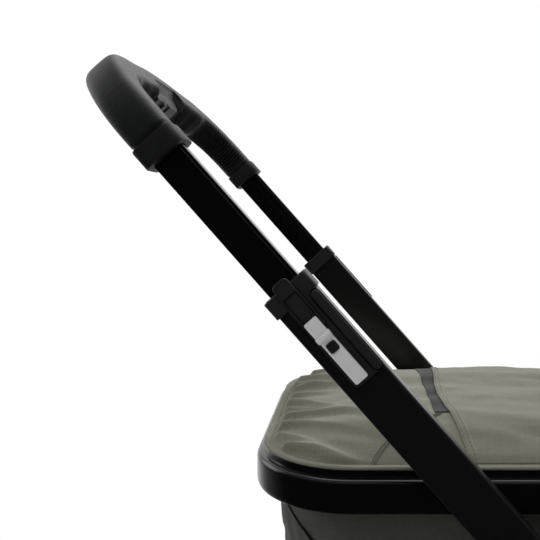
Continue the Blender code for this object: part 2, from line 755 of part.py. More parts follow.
def make_handle(finishes, fold):
    for side, sign in SIDES:
        tube = tube_layer(
            sign, INNER_WIDTH, INNER_DEPTH, INNER_EDGE, INNER_LOW, GRIP_COLLAR_TOP - GAP, INNER_WALL
        )
        piece(f"inner_tube_{side}", tube, finishes["gloss"], fold)
        centre = (0.0, sign * TUBE_CENTRE)
        width = GRIP_WIDTH + 2 * GRIP_COLLAR_PROUD
        depth = GRIP_DEPTH + 2 * GRIP_COLLAR_PROUD
        outer = rounded_rect(width, depth, GRIP_COLLAR_CORNER, 3, centre)
        inner = rounded_rect(INNER_WIDTH + 2 * GAP, INNER_DEPTH + 2 * GAP, INNER_EDGE, 3, centre)
        collar = pipe(outer, inner, "z", GRIP_COLLAR_LOW, GRIP_COLLAR_TOP)
        piece(f"grip_collar_{side}", collar, finishes["collar"], fold)

    path = grip_path()
    square = Vector((1.0, 0.0, 0.0))
    wrap = planar_sweep(path, square, rounded_rect(GRIP_WIDTH, GRIP_DEPTH, GRIP_CORNER, 2))
    past_end = Vector((0.0, 0.0, 0.01))
    bore_path = [path[0] - past_end, *path[1:-1], path[-1] - past_end]
    bore = planar_sweep(bore_path, square, circle(CORE_RADIUS + GAP, 8))
    notch_top = HOUSING_ALONG - CORE_RADIUS - HOUSING_SEAT
    notch = box(
        (-GRIP_WIDTH, -HOUSING_HALF - GAP, HOUSING_ALONG - 2 * GRIP_DEPTH),
        (GRIP_WIDTH, HOUSING_HALF + GAP, notch_top),
    )
    piece("grip_wrap", wrap, finishes["leather"], fold, cuts=(bore, notch))
    core = planar_sweep(path, square, circle(CORE_RADIUS, 8))
    piece("handle_core", core, finishes["gloss"], fold)

    top = notch_top - GAP
    low = HOUSING_ALONG - HOUSING_DROP
    rings = []
    for y, draw in ((-1.0, 0.005), (-0.8, 0.0), (0.8, 0.0), (1.0, 0.005)):
        half = HOUSING_WIDTH / 2 - draw
        foot = HOUSING_FOOT / 2 - draw
        bend = low + HOUSING_BEVEL
        at = y * HOUSING_HALF
        corners = (
            (half, top),
            (-half, top),
            (-half, bend + draw),
            (-foot, low + draw),
            (foot, low + draw),
            (half, bend + draw),
        )
        rings.append([Vector((CROSSBAR_LEAN + x, at, z)) for x, z in corners])
    keys = (
        ("fold_trigger", TRIGGER_CENTRE, TRIGGER_WIDTH, 2 * TRIGGER_HALF, TRIGGER_PROUD, TRIGGER_TRAVEL),
        ("fold_lock_button", LOCK_CENTRE, LOCK_SIDE, LOCK_SIDE, LOCK_PROUD, LOCK_TRAVEL),
    )
    pockets = []
    for name, centre, width, length, proud, travel in keys:
        depth = KEY_HEIGHT - proud + travel + POCKET_SPARE
        pockets.append(
            box(
                (CROSSBAR_LEAN - width / 2 - GAP, centre - length / 2 - GAP, low - 0.01),
                (CROSSBAR_LEAN + width / 2 + GAP, centre + length / 2 + GAP, low + depth),
            )
        )
        key = soft_prism(
            rounded_rect(width, length, 0.002, 2, (CROSSBAR_LEAN, centre)),
            "z",
            low - proud,
            low - proud + KEY_HEIGHT,
            0.001,
            1,
        )
        piece(name, key, finishes["matte"], fold, (CROSSBAR_LEAN, centre, low))
    piece("fold_housing", loft(rings), finishes["collar"], fold, cuts=pockets)


def leg_block(sign, start, end, width, depth):
    """Bar along the leg's line, below the hub, in the world's frame about the hub."""
    mesh = prism(rounded_rect(width, depth, 0.003, 2, (0.0, sign * LEG_CENTRE)), "z", -end, -start)
    return moved(mesh, Matrix.Rotation(TUBE_ANGLE - pi / 2, 4, "Y"))


def make_hub(side, sign, finishes, root):
    disc = prism(circle(HUB_RADIUS, 24), "y", sign * HUB_INNER, sign * HUB_OUTER)
    pin = prism(
        circle(PIN_RADIUS, 16), "y", sign * (HANGER_OUTER + GAP), sign * (TUBE_FACE + GAP)
    )
    socket = leg_block(sign, 0.0, LEG_START - GAP, LEG_WIDTH, HUB_DEPTH - 4 * SHALLOW)
    top = ADAPTOR_TOP - HUB_HEIGHT
    post = box(
        (-ADAPTOR_WIDTH / 2, sign * (HUB_INNER + SHALLOW), 0.0),
        (ADAPTOR_WIDTH / 2, sign * (HUB_OUTER - SHALLOW), top),
    )
    slot_half = HUB_DEPTH * SLOT_SHARE / 2
    slot = box(
        (-SLOT_HALF, sign * (LEG_CENTRE - slot_half), top - BRACKET_TONGUE - SLOT_SPARE),
        (SLOT_HALF, sign * (LEG_CENTRE + slot_half), top + 0.01),
    )
    piece(f"hub_{side}", disc, finishes["matte"], root, joins=(pin, socket, post), cuts=(slot,))
    cap_low = TUBE_FACE + 2 * GAP
    cap = soft_prism(
        circle(CAP_RADIUS, 20), "y", sign * cap_low, sign * (cap_low + CAP_THICK), 0.001, 1
    )
    piece(f"hub_cap_{side}", cap, finishes["matte"], root)


def make_front_leg(side, sign, finishes, leg_root, root):
    leg = prism(
        rounded_rect(LEG_WIDTH, LEG_DEPTH, 0.005, 3, (0.0, sign * LEG_CENTRE)),
        "z",
        -LEG_END,
        -LEG_START,
    )
    piece(f"front_leg_{side}", leg, finishes["gloss"], leg_root)
    low = SWIVEL_LOW - HUB_HEIGHT
    high = SWIVEL_HIGH - HUB_HEIGHT
    centre = (SWIVEL_AHEAD, sign * LEG_CENTRE)
    barrel = prism(circle(SWIVEL_RADIUS, 20, centre), "z", low, high)
    socket = leg_block(sign, LEG_END + GAP, LEG_END + LEG_SOCKET, LEG_WIDTH - SHALLOW, LEG_DEPTH)
    bore = prism(circle(STEM_RADIUS + GAP, 16, centre), "z", low - 0.01, STEM_TOP + 0.002 - HUB_HEIGHT)
    piece(f"swivel_housing_{side}", barrel, finishes["matte"], root, joins=(socket,), cuts=(bore,))


def rail_drop():
    """Distance along the front leg at which it is level with the basket's rail."""
    return (HUB_HEIGHT - BASKET_RAIL_HEIGHT) / sin(TUBE_ANGLE)


def make_front_crossbar(finishes, root):
    centre = (rail_drop() * cos(TUBE_ANGLE), BASKET_RAIL_HEIGHT - HUB_HEIGHT)
    half = LEG_CENTRE - LEG_DEPTH / 2 - GAP
    bar = prism(circle(CROSSBAR_RADIUS, 16, centre), "y", -half, half)
    piece("front_crossbar", bar, finishes["gloss"], root)


def window_cutters(count, inner, outer, spoke, depth, centre):
    """Openings between a wheel's spokes."""
    cutters = bmesh.new()
    steps = 2
    for number in range(count):
        middle = pi / 2 + 2 * pi * (number + 0.5) / count
        outline = []
        for radius, order in ((inner, 1), (outer, -1)):
            half = pi / count - spoke / radius / 2
            for i in range(steps + 1):
                turn = middle + order * half * (2 * i / steps - 1)
                outline.append((radius * cos(turn), radius * sin(turn)))
        low = [cutters.verts.new((a, centre - depth, b)) for a, b in outline]
        high = [cutters.verts.new((a, centre + depth, b)) for a, b in outline]
        cutters.faces.new(low)
        cutters.faces.new(high)
        for i in range(len(low)):
            j = (i + 1) % len(low)
            cutters.faces.new((low[i], low[j], high[j], high[i]))
    bmesh.ops.recalc_face_normals(cutters, faces=cutters.faces)
    return cutters


def tyre_profile(inner, outer, half):
    """Closed tyre section of (radius, along)."""
    wall = outer - inner
    return [
        (inner, -0.80 * half),
        (inner + 0.45 * wall, -half),
        (inner + 0.80 * wall, -0.80 * half),
        (outer, -0.34 * half),
        (outer, 0.34 * half),
        (inner + 0.80 * wall, 0.80 * half),
        (inner + 0.45 * wall, half),
        (inner, 0.80 * half),
    ]


def rim_profile(bore, hub, rim, hub_low, hub_high, web_low, web_high, half):
    """Closed section of a wheel's rim, web and hub, of (radius, along)."""
    draft = 0.001
    return [
        (bore, hub_low),
        (hub, hub_low),
        (hub, web_low),
        (rim - RIM_LIP, web_low),
        (rim - RIM_LIP + draft, -half),
        (rim, -half),
        (rim, half),
        (rim - RIM_LIP + draft, half),
        (rim - RIM_LIP, web_high),
        (hub, web_high),
        (hub, hub_high),
        (bore, hub_high),
    ]


def across(mesh, distance):
    return moved(mesh, Matrix.Translation((0.0, distance, 0.0)))


def make_front_wheel(side, sign, finishes, root):
    swivel = pivot(f"swivel_{side}", (SWIVEL_AHEAD, sign * LEG_CENTRE, -HUB_HEIGHT), parent=root)
    plate_top = SWIVEL_LOW - GAP
    plate_low = plate_top - FORK_PLATE_THICK
    blade_inner = FRONT_TYRE_HALF + FORK_CLEAR
    blade_outer = blade_inner + FORK_BLADE
    axle = (-TRAIL, FRONT_WHEEL_RADIUS)
    crown = -TRAIL * FORK_LEAN
    plate = soft_prism(
        capsule((crown, 0.0), (0.0, 0.0), STEM_RADIUS + 0.008, 8), "z", plate_low, plate_top, 0.002, 1
    )
    bridge = box(
        (crown - FORK_BRIDGE_HALF, -blade_outer + 0.001, plate_low + 0.001),
        (crown + FORK_BRIDGE_HALF, blade_outer - 0.001, plate_top - 0.001),
    )
    stem = prism(circle(STEM_RADIUS, 16), "z", plate_top - 0.003, STEM_TOP)
    joins = [bridge, stem]
    for end in (-1, 1):
        joins.append(
            prism(
                capsule((crown, plate_low + 0.0045), axle, FORK_BLADE_RADIUS, 6),
                "y",
                end * blade_inner,
                end * blade_outer,
            )
        )
    joins.append(
        prism(circle(FRONT_AXLE_RADIUS, 12, axle), "y", -blade_inner - 0.002, blade_inner + 0.002)
    )
    piece(f"front_fork_{side}", plate, finishes["matte"], swivel, joins=joins)

    hub = pivot(f"front_axle_{side}", (-TRAIL, 0.0, FRONT_WHEEL_RADIUS), parent=swivel)
    profile = rim_profile(
        FRONT_AXLE_RADIUS + GAP,
        FRONT_WHEEL_HUB,
        FRONT_RIM_RADIUS,
        -blade_inner + 0.001,
        blade_inner - 0.001,
        -WEB_HALF,
        WEB_HALF,
        RIM_SHARE * FRONT_TYRE_HALF,
    )
    windows = window_cutters(
        5, FRONT_WINDOW_FOOT, FRONT_RIM_RADIUS - RIM_RING, FRONT_SPOKE, FRONT_TYRE_HALF, 0.0
    )
    piece(
        f"front_rim_{side}",
        turned_ring(profile, WHEEL_SIDES),
        finishes["matte"],
        hub,
        cuts=(windows,),
    )
    tyre = turned_ring(
        tyre_profile(FRONT_RIM_RADIUS + GAP, FRONT_WHEEL_RADIUS, FRONT_TYRE_HALF), WHEEL_SIDES
    )
    piece(f"front_tyre_{side}", tyre, finishes["rubber"], hub)


def brake_direction():
    return Vector((REAR_AXLE_BACK, 0.0, HUB_HEIGHT - REAR_WHEEL_RADIUS)).normalized()


def brake_ring(inner, root_radius, tip, notches, low, high):
    """Toothed ring whose notches take the brake pin, one of them facing the hub."""
    first = atan2(brake_direction().z, brake_direction().x)
    outline = []
    for number in range(notches):
        for share, radius in ((-0.18, root_radius), (0.18, root_radius), (0.18, tip), (0.82, tip)):
            turn = first + 2 * pi * (number + share) / notches
            outline.append((radius * cos(turn), radius * sin(turn)))
    hole = circle(inner, len(outline), phase=first - 0.36 * pi / notches)
    return pipe(outline, hole, "y", low, high)


def make_rear_wheel(side, sign, finishes, axle):
    centre = sign * REAR_WHEEL_CENTRE
    hub = pivot(f"rear_wheel_{side}", (0.0, 0.0, 0.0), parent=axle)
    hub_low = BRAKE_HOUSING_FACE + 2 * BRAKE_CLEAR - REAR_WHEEL_CENTRE
    web_face = BRAKE_HOUSING_FACE + BRAKE_PIN_PROUD + BRAKE_TRAVEL + TRAVEL_SPARE
    web_low = web_face - REAR_WHEEL_CENTRE
    profile = rim_profile(
        REAR_AXLE_RADIUS + GAP,
        REAR_WHEEL_HUB,
        REAR_RIM_RADIUS,
        hub_low,
        REAR_TYRE_HALF - 0.003,
        web_low,
        web_low + REAR_WEB,
        RIM_SHARE * REAR_TYRE_HALF,
    )
    if sign < 0:
        profile = [(r, -y) for r, y in profile]
    rim = across(turned_ring(profile, WHEEL_SIDES), centre)
    teeth = brake_ring(
        BRAKE_RING_INNER,
        BRAKE_REACH - BRAKE_PIN_RADIUS - 0.001,
        BRAKE_REACH + BRAKE_RING_RISE,
        BRAKE_NOTCHES,
        sign * (BRAKE_HOUSING_FACE + BRAKE_PIN_PROUD + 0.0015),
        sign * (web_face + 0.001),
    )
    windows = window_cutters(
        6, REAR_WINDOW_FOOT, REAR_RIM_RADIUS - RIM_RING, REAR_SPOKE, REAR_TYRE_HALF, centre
    )
    piece(f"rear_rim_{side}", rim, finishes["matte"], hub, joins=(teeth,), cuts=(windows,))
    tyre = across(
        turned_ring(tyre_profile(REAR_RIM_RADIUS + GAP, REAR_WHEEL_RADIUS, REAR_TYRE_HALF), WHEEL_SIDES),
        centre,
    )
    piece(f"rear_tyre_{side}", tyre, finishes["rubber"], hub)


def make_rear_frame(finishes, root):
    rear = pivot("rear_fold", (0.0, 0.0, 0.0), parent=root)
    axle_at = (-REAR_AXLE_BACK, REAR_WHEEL_RADIUS - HUB_HEIGHT)
    axle = pivot("rear_axle_line", (axle_at[0], 0.0, axle_at[1]), parent=rear)
    aim = brake_direction() * BRAKE_REACH
    pin_at = (axle_at[0] + aim.x, axle_at[1] + aim.z)
    for side, sign in SIDES:
        leg = prism(
            capsule((0.0, 0.0), axle_at, REAR_LEG_RADIUS, 10),
            "y",
            sign * REAR_LEG_INNER,
            sign * REAR_LEG_OUTER,
        )
        housing = prism(
            capsule(axle_at, pin_at, REAR_LEG_RADIUS - 0.002, 8),
            "y",
            sign * (REAR_LEG_OUTER - 0.002),
            sign * BRAKE_HOUSING_FACE,
        )
        cuts = []
        for radius, centre in (
            (PIN_RADIUS + GAP, (0.0, 0.0)),
            (REAR_AXLE_RADIUS + GAP, axle_at),
            (BRAKE_PIN_RADIUS + GAP, pin_at),
        ):
            cuts.append(
                prism(
                    circle(radius, 16, centre),
                    "y",
                    sign * (REAR_LEG_INNER - 0.01),
                    sign * (BRAKE_HOUSING_FACE + 0.01),
                )
            )
        piece(f"rear_leg_{side}", leg, finishes["gloss"], rear, joins=(housing,), cuts=cuts)
        pin_tip = BRAKE_HOUSING_FACE + BRAKE_PIN_PROUD
        pin = prism(
            circle(BRAKE_PIN_RADIUS, 12, pin_at), "y", sign * (REAR_LEG_INNER + 0.008), sign * pin_tip
        )
        piece(f"brake_pin_{side}", pin, finishes["silver"], rear, (pin_at[0], sign * pin_tip, pin_at[1]))
        make_rear_wheel(side, sign, finishes, axle)

    stub = REAR_WHEEL_CENTRE + REAR_TYRE_HALF - 0.004
    beam = REAR_LEG_INNER - GAP
    steps = (
        (-stub, REAR_AXLE_RADIUS),
        (-beam, REAR_AXLE_RADIUS),
        (-beam, REAR_BEAM_RADIUS),
        (beam, REAR_BEAM_RADIUS),
        (beam, REAR_AXLE_RADIUS),
        (stub, REAR_AXLE_RADIUS),
    )
    piece("rear_axle", shaft(steps, "y", 16), finishes["gloss"], axle)
    sleeve = pipe(
        circle(REAR_BEAM_RADIUS + PEDAL_SLEEVE, 16),
        circle(REAR_BEAM_RADIUS + PEDAL_ROOM, 16),
        "y",
        -PEDAL_HALF + 0.002,
        PEDAL_HALF - 0.002,
    )
    start = REAR_BEAM_RADIUS + PEDAL_SLEEVE - 0.003
    length = PEDAL_LENGTH - start
    paddle = soft_prism(
        rounded_rect(length, 2 * PEDAL_HALF, 0.012, 4, (-start - length / 2, 0.0)),
        "z",
        -PEDAL_THICK / 2,
        PEDAL_THICK / 2,
        0.002,
        1,
    )
    piece("brake_pedal", sleeve, finishes["matte"], axle, joins=(paddle,))


def make_basket(finishes, root):
    rail_z = BASKET_RAIL_HEIGHT - HUB_HEIGHT
    front = rail_drop() * cos(TUBE_ANGLE) - CROSSBAR_RADIUS - GAP - BASKET_RAIL_RADIUS
    outline = plan(-BASKET_BACK, front, BASKET_RAIL_HALF, BASKET_CORNER, BASKET_CORNER, 0.0, 4)
    path = level(outline, rail_z)
    rail = planar_sweep(path, Vector((0.0, 0.0, 1.0)), circle(BASKET_RAIL_RADIUS, 6), closed=True)
    hangers = [
        prism(
            capsule((0.0, 0.0), (0.0, rail_z), HANGER_RADIUS, 6),
            "y",
            sign * HANGER_INNER,
            sign * HANGER_OUTER,
        )
        for side, sign in SIDES
    ]
    piece("basket_frame", rail, finishes["gloss"], root, joins=hangers)

    def ring(draw, height, wall=0.0):
        back = -BASKET_BACK + draw
        ahead = front - BASKET_FRONT_DRAW * draw
        half = BASKET_RAIL_HALF - BASKET_SIDE_DRAW * draw
        return level(
            plan(back, ahead, half, BASKET_CORNER, BASKET_CORNER, wall, 4), height - HUB_HEIGHT
        )

    rim_height = BASKET_RAIL_HEIGHT - BASKET_RAIL_RADIUS - GAP
    draws = (
        (0.034, BASKET_FLOOR),
        (0.026, BASKET_FLOOR + BASKET_HEM),
        (0.010, rim_height - BASKET_HEM),
    )
    rings = [ring(draw, height) for draw, height in draws]
    rings.append(ring(0.0, rim_height))
    rings.append(ring(0.0, rim_height, 2 * BASKET_WALL))
    for draw, height in reversed(draws):
        rings.append(ring(draw, height + (BASKET_WALL if draw == draws[0][0] else 0.0), BASKET_WALL))
    piece("basket", loft(rings), finishes["fabric"], root)


def cot_plan(inset_side, inset_end, extra=0.0, steps=5):
    """Plan outline of the carrycot, drawn in at the sides and the ends."""
    return plan(
        -COT_BACK + inset_end,
        COT_AHEAD - inset_end,
        RIM_HALF - inset_side,
        RIM_CORNER,
        RIM_CORNER,
        extra,
        steps,
    )


def make_cot_shell(finishes, cot):
    """Rim with its canopy lugs, and the body hanging under it. Heights are over the floor."""
    section = (
        (0.004, RIM_BOTTOM),
        (0.0, RIM_BOTTOM + 0.006),
        (0.0, RIM_TOP - 0.007),
        (0.002, RIM_TOP - 0.002),
        (0.007, RIM_TOP),
        (RIM_WIDTH - 0.003, RIM_TOP),
        (RIM_WIDTH, RIM_TOP - 0.003),
        (RIM_WIDTH, RIM_BOTTOM),
    )
    rings = [level(cot_plan(0.0, 0.0, inset), height) for inset, height in section]
    lugs = []
    pin_reach = LUG_THICK / 2 + LAYER_GAP + 2 * BOW_RADIUS - CANOPY_PIN_SHORT
    middle = LUG_INNER + LUG_THICK / 2
    lug_top = (CANOPY_AHEAD, RIM_TOP + CANOPY_RISE)
    for side, sign in SIDES:
        lugs.append(
            prism(
                capsule((CANOPY_AHEAD, RIM_TOP - LUG_RADIUS / 2), lug_top, LUG_RADIUS, 6),
                "y",
                sign * LUG_INNER,
                sign * (LUG_INNER + LUG_THICK),
            )
        )
        lugs.append(
            prism(
                circle(CANOPY_PIN, 16, lug_top),
                "y",
                sign * (middle - pin_reach),
                sign * (middle + pin_reach),
            )
        )
    piece("cot_rim", loft(rings, closed=True), finishes["rim"], cot, joins=lugs)

    depth = RIM_BOTTOM - GAP - COT_FLOOR
    shape = (
        (0.0580, 0.052, 0.0),
        (0.0535, 0.047, 0.05),
        (0.0470, 0.036, 0.43),
        (0.0310, 0.028, 0.75),
        (COT_RECESS_SIDE, COT_RECESS_END, 1.0),
    )
    outer = [level(cot_plan(a, b, 0.0, BODY_STEPS), COT_FLOOR + depth * up) for a, b, up in shape]
    inner = []
    for number, (a, b, up) in enumerate(reversed(shape)):
        lift = COT_WALL if number == len(shape) - 1 else 0.0
        inner.append(level(cot_plan(a, b, COT_WALL, BODY_STEPS), COT_FLOOR + depth * up + lift))
    piece("cot_body", loft(outer + inner), finishes["body"], cot)

    floor = COT_FLOOR + COT_WALL + GAP
    inset_side = shape[1][0] + COT_WALL + MATTRESS_CLEAR
    inset_end = shape[1][1] + COT_WALL + MATTRESS_CLEAR
    pad = []
    for inset, height in (
        (0.010, 0.0),
        (0.001, 0.007),
        (0.0, 0.5 * MATTRESS_HEIGHT),
        (0.003, 0.80 * MATTRESS_HEIGHT),
        (0.016, 0.95 * MATTRESS_HEIGHT),
        (0.060, MATTRESS_HEIGHT),
    ):
        pad.append(level(cot_plan(inset_side, inset_end, inset, 5), floor + height))
    piece("mattress", loft(pad), finishes["pad"], cot)


def make_apron(finishes, cot):
    """Cloth over the carrycot's rear end: a crowned sheet with a thick edge on the rim."""
    back = -COT_BACK + APRON_INSET
    half = RIM_HALF - APRON_INSET
    reach = (APRON_FRONT - back) / 2
    middle = back + reach
    rear_corner = RIM_CORNER - APRON_INSET
    outline = plan(back, APRON_FRONT, half, rear_corner, APRON_FRONT_CORNER, 0.0, 5)
    seat = RIM_TOP + GAP
    edge = seat + APRON_PIPING
    lift = RIM_TOP + APRON_CROWN - edge
    hem = RIM_WIDTH - APRON_INSET

    def ring(inset, height):
        """Outline drawn in toward its middle, which keeps the corners' arcs."""
        ahead = 1 - inset / reach
        across = 1 - inset / half
        return level([(middle + (x - middle) * ahead, y * across) for x, y in outline], height)

    dome = ((0.120, 0.94), (0.070, 0.72), (0.030, 0.30))
    upper = [(inset, edge + share * lift) for inset, share in dome]
    rim = [(0.010, edge - 0.002), (0.005, edge), (0.001, edge - 0.002), (0.0, seat + 0.002)]
    lower = [(inset, height - APRON_CLOTH) for inset, height in reversed(upper)]
    profile = upper + rim + [(0.002, seat), (hem, seat)] + lower
    mesh = loft([ring(inset, height) for inset, height in profile])
    bmesh.ops.triangulate(mesh, faces=mesh.faces, quad_method="FIXED", ngon_method="BEAUTY")
    piece("apron", mesh, finishes["fabric"], cot)


def make_bracket(side, sign, finishes, cot):
    low = ADAPTOR_TOP + GAP
    high = RIM_BOTTOM - GAP
    inner = RIM_HALF - COT_RECESS_SIDE + 0.0005
    block = box((-BRACKET_HALF, sign * inner, low), (BRACKET_HALF, sign * BRACKET_FACE, high))
    tongue_half = HUB_DEPTH * SLOT_SHARE / 2 - GAP
    tongue = box(
        (-SLOT_HALF + GAP, sign * (LEG_CENTRE - tongue_half), ADAPTOR_TOP - BRACKET_TONGUE),
        (SLOT_HALF - GAP, sign * (LEG_CENTRE + tongue_half), low + 0.005),
    )
    middle = (low + high) / 2
    key_inner = RELEASE_FACE - RELEASE_DEPTH
    pocket_floor = key_inner - RELEASE_TRAVEL - TRAVEL_SPARE / 2
    pocket = box(
        (-RELEASE_HALF - GAP, sign * pocket_floor, middle - RELEASE_RISE - GAP),
        (RELEASE_HALF + GAP, sign * (BRACKET_FACE + 0.01), middle + RELEASE_RISE + GAP),
    )
    piece(f"cot_bracket_{side}", block, finishes["matte"], cot, joins=(tongue,), cuts=(pocket,))
    key = soft_prism(
        rounded_rect(2 * RELEASE_HALF, 2 * RELEASE_RISE, 0.003, 2, (0.0, middle)),
        "y",
        sign * key_inner,
        sign * RELEASE_FACE,
        0.0006,
        1,
    )
    piece(f"release_button_{side}", key, finishes["collar"], cot, (0.0, sign * RELEASE_FACE, middle))


def arch(half, reach, steps=ARCH_STEPS, start=0.03):
    """Points (across, reach) of a bow's arch, a superellipse from the right foot to the left."""
    points = []
    for i in range(steps + 1):
        turn = pi - start - (pi - 2 * start) * i / steps
        power = 2 / ARCH_POWER
        y = half * abs(cos(turn)) ** power * (1 if cos(turn) >= 0 else -1)
        points.append((y, reach * sin(turn) ** power))
    return points


def in_plane(points, angle):
    """Arch points set at an angle about the canopy's pivot."""
    heading = Vector((cos(angle), 0.0, sin(angle)))
    return [heading * reach + Vector((0.0, y, 0.0)) for y, reach in points]


def canopy_reach(angle):
    """Inside of the cloth from the pivot: along the rim at angle 0, over the bows at their angle."""
    top = CANOPY_REACH + BOW_RADIUS
    power = 2.5
    along_bow = top * cos(MIDDLE_BOW_ANGLE) / CANOPY_END
    upright = top * sin(MIDDLE_BOW_ANGLE) / (1 - along_bow**power) ** (1 / power)
    share = (cos(angle) / CANOPY_END) ** power + (sin(angle) / upright) ** power
    return share ** (-1 / power)


def make_canopy(finishes, cot):
    axis = pivot("canopy_pivot", (CANOPY_AHEAD, 0.0, RIM_TOP + CANOPY_RISE), parent=cot)

    def bow(name, angle, foot, finish):
        points = arch(CANOPY_HALF, CANOPY_REACH)
        drawn = []
        for y, reach in points:
            share = min(max((reach - 0.032) / 0.048, 0.0), 1.0)
            side = -1 if y < 0 else 1
            drawn.append((y - side * (CANOPY_HALF - foot) * (1 - share), reach))
        path = in_plane(drawn, angle)
        heading = Vector((cos(angle), 0.0, sin(angle)))
        feet = [Vector((0.0, -foot, 0.0)) + heading * 0.004, Vector((0.0, foot, 0.0)) + heading * 0.004]
        path = [feet[0]] + path + [feet[1]]
        normal = heading.cross(Vector((0.0, 1.0, 0.0)))
        rod = planar_sweep(path, normal, circle(BOW_RADIUS - SHALLOW, 6))
        joins = []
        cuts = []
        for side, sign in SIDES:
            joins.append(
                prism(
                    circle(BOW_FOOT_RADIUS, 10),
                    "y",
                    sign * (foot - BOW_RADIUS),
                    sign * (foot + BOW_RADIUS),
                )
            )
            cuts.append(
                prism(
                    circle(CANOPY_PIN + CANOPY_PIN_ROOM, 16),
                    "y",
                    sign * (foot - 2 * BOW_RADIUS),
                    sign * (foot + 2 * BOW_RADIUS),
                )
            )
        if name == "canopy_front_bow":
            steps = 6
            line = []
            for i in range(steps + 1):
                y = GRIP_HALF * (2 * i / steps - 1)
                reach = CANOPY_REACH * (1 - (abs(y) / CANOPY_HALF) ** ARCH_POWER) ** (1 / ARCH_POWER)
                line.append((y, reach))
            joins.append(planar_sweep(in_plane(line, angle), normal, circle(GRIP_RADIUS, 8)))
        piece(name, rod, finish, axis, joins=joins, cuts=cuts)

    bow("canopy_front_bow", FRONT_BOW_ANGLE, CANOPY_HALF, finishes["leather"])
    bow("canopy_middle_bow", MIDDLE_BOW_ANGLE, MIDDLE_BOW_FOOT, finishes["matte"])

    def rows(angles, offset):
        grid = []
        for angle in angles:
            reach = canopy_reach(min(angle, MIDDLE_BOW_ANGLE))
            half = CANOPY_HALF + BOW_RADIUS
            grid.append(in_plane(arch(half + offset, reach + offset), angle))
        return grid

    split = MIDDLE_BOW_ANGLE
    rear_angles = [split * i / 6 * 0.995 for i in range(7)]
    outer = rows(rear_angles, CLOTH_CLEAR + CLOTH)
    inner = rows(rear_angles, CLOTH_CLEAR)
    drop = CANOPY_RISE - GAP
    outer.insert(0, [point - Vector((0.0, 0.0, drop)) for point in outer[0]])
    inner.insert(0, [point - Vector((0.0, 0.0, drop)) for point in inner[0]])
    piece("canopy_rear_panel", shell(outer, inner), finishes["fabric"], axis)
    last = FRONT_BOW_ANGLE - (GRIP_RADIUS + GAP) / CANOPY_REACH - radians(0.1)
    front_angles = [split * 1.005 + (last - split * 1.005) * i / 5 for i in range(6)]
    outer = rows(front_angles, CLOTH_CLEAR + CLOTH)
    inner = rows(front_angles, CLOTH_CLEAR)
    piece("canopy_front_panel", shell(outer, inner), finishes["fabric"], axis)


def make_finishes():
    return {
        "gloss": material("gloss_black_tube", (0.012, 0.012, 0.014), 0.18, 0.0),
        "rim": material("gloss_black_rim", (0.015, 0.015, 0.017), 0.22, 0.0),
        "matte": material("matte_black_plastic", (0.028, 0.028, 0.030), 0.55, 0.0),
        "collar": material("grey_black_plastic", (0.045, 0.048, 0.050), 0.60, 0.0),
        "leather": material("black_leatherette", (0.035, 0.036, 0.038), 0.48, 0.0),
        "silver": material("silver_satin", (0.55, 0.56, 0.58), 0.35, 1.0),
        "rubber": material("black_rubber", (0.020, 0.020, 0.020), 0.85, 0.0),
        "fabric": material("olive_grey_fabric", (0.165, 0.165, 0.125), 0.85, 0.0),
        "body": material("dark_olive_fabric", (0.055, 0.055, 0.043), 0.85, 0.0),
        "pad": material("pale_grey_pad", (0.42, 0.42, 0.40), 0.90, 0.0),
    }


def main():
    remove_everything()
    finishes = make_finishes()
    root = pivot("hub_line", (HUB_X, 0.0, HUB_HEIGHT))
    lean = TUBE_ANGLE - pi / 2
    fold = pivot("fold_hinge", (0.0, 0.0, 0.0), lean, root)
    leg_root = pivot("leg_line", (0.0, 0.0, 0.0), lean, root)
    cot = pivot("cot_lift", (HUB_X, 0.0, 0.0))
    for side, sign in SIDES:
        make_outer_tube(side, sign, finishes["gloss"], fold)
        make_latch(side, sign, finishes, fold)
        make_hub(side, sign, finishes, root)
        make_front_leg(side, sign, finishes, leg_root, root)
        make_front_wheel(side, sign, finishes, root)
        make_bracket(side, sign, finishes, cot)
    make_handle(finishes, fold)
    make_front_crossbar(finishes, root)
    make_rear_frame(finishes, root)
    make_basket(finishes, root)
    make_cot_shell(finishes, cot)
    make_apron(finishes, cot)
    make_canopy(finishes, cot)


main()
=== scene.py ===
"""Looks of the two-in-one pram: finishes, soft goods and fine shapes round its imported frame.

Metres, in the frame of the solids: +X ahead, +Y the pram's left side, +Z up.
"""

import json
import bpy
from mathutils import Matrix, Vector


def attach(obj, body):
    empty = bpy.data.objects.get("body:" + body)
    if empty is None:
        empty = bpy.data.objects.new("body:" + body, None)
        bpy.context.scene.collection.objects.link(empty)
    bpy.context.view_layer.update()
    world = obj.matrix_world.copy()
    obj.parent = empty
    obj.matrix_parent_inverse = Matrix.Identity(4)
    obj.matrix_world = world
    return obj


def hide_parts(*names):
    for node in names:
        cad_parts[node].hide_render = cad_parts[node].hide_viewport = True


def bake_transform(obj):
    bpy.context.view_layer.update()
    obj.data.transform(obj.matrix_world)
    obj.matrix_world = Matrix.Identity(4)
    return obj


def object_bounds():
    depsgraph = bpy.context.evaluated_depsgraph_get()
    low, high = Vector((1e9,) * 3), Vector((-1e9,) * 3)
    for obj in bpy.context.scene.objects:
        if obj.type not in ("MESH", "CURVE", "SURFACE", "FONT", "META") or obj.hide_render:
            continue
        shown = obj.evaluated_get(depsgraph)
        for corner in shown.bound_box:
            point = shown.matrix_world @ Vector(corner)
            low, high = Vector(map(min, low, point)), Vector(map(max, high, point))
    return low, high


bl_info = {
    "name": "Two-in-one pram",
    "version": (1, 0, 0),
    "blender": (4, 5, 0),
    "location": "3D View > Sidebar > Pram",
    "description": "Dresses the pram's handle, frame, wheels and carrycot",
    "category": "Object",
}

from bisect import bisect_right
from math import atan2, cos, exp, hypot, pi, radians, sin

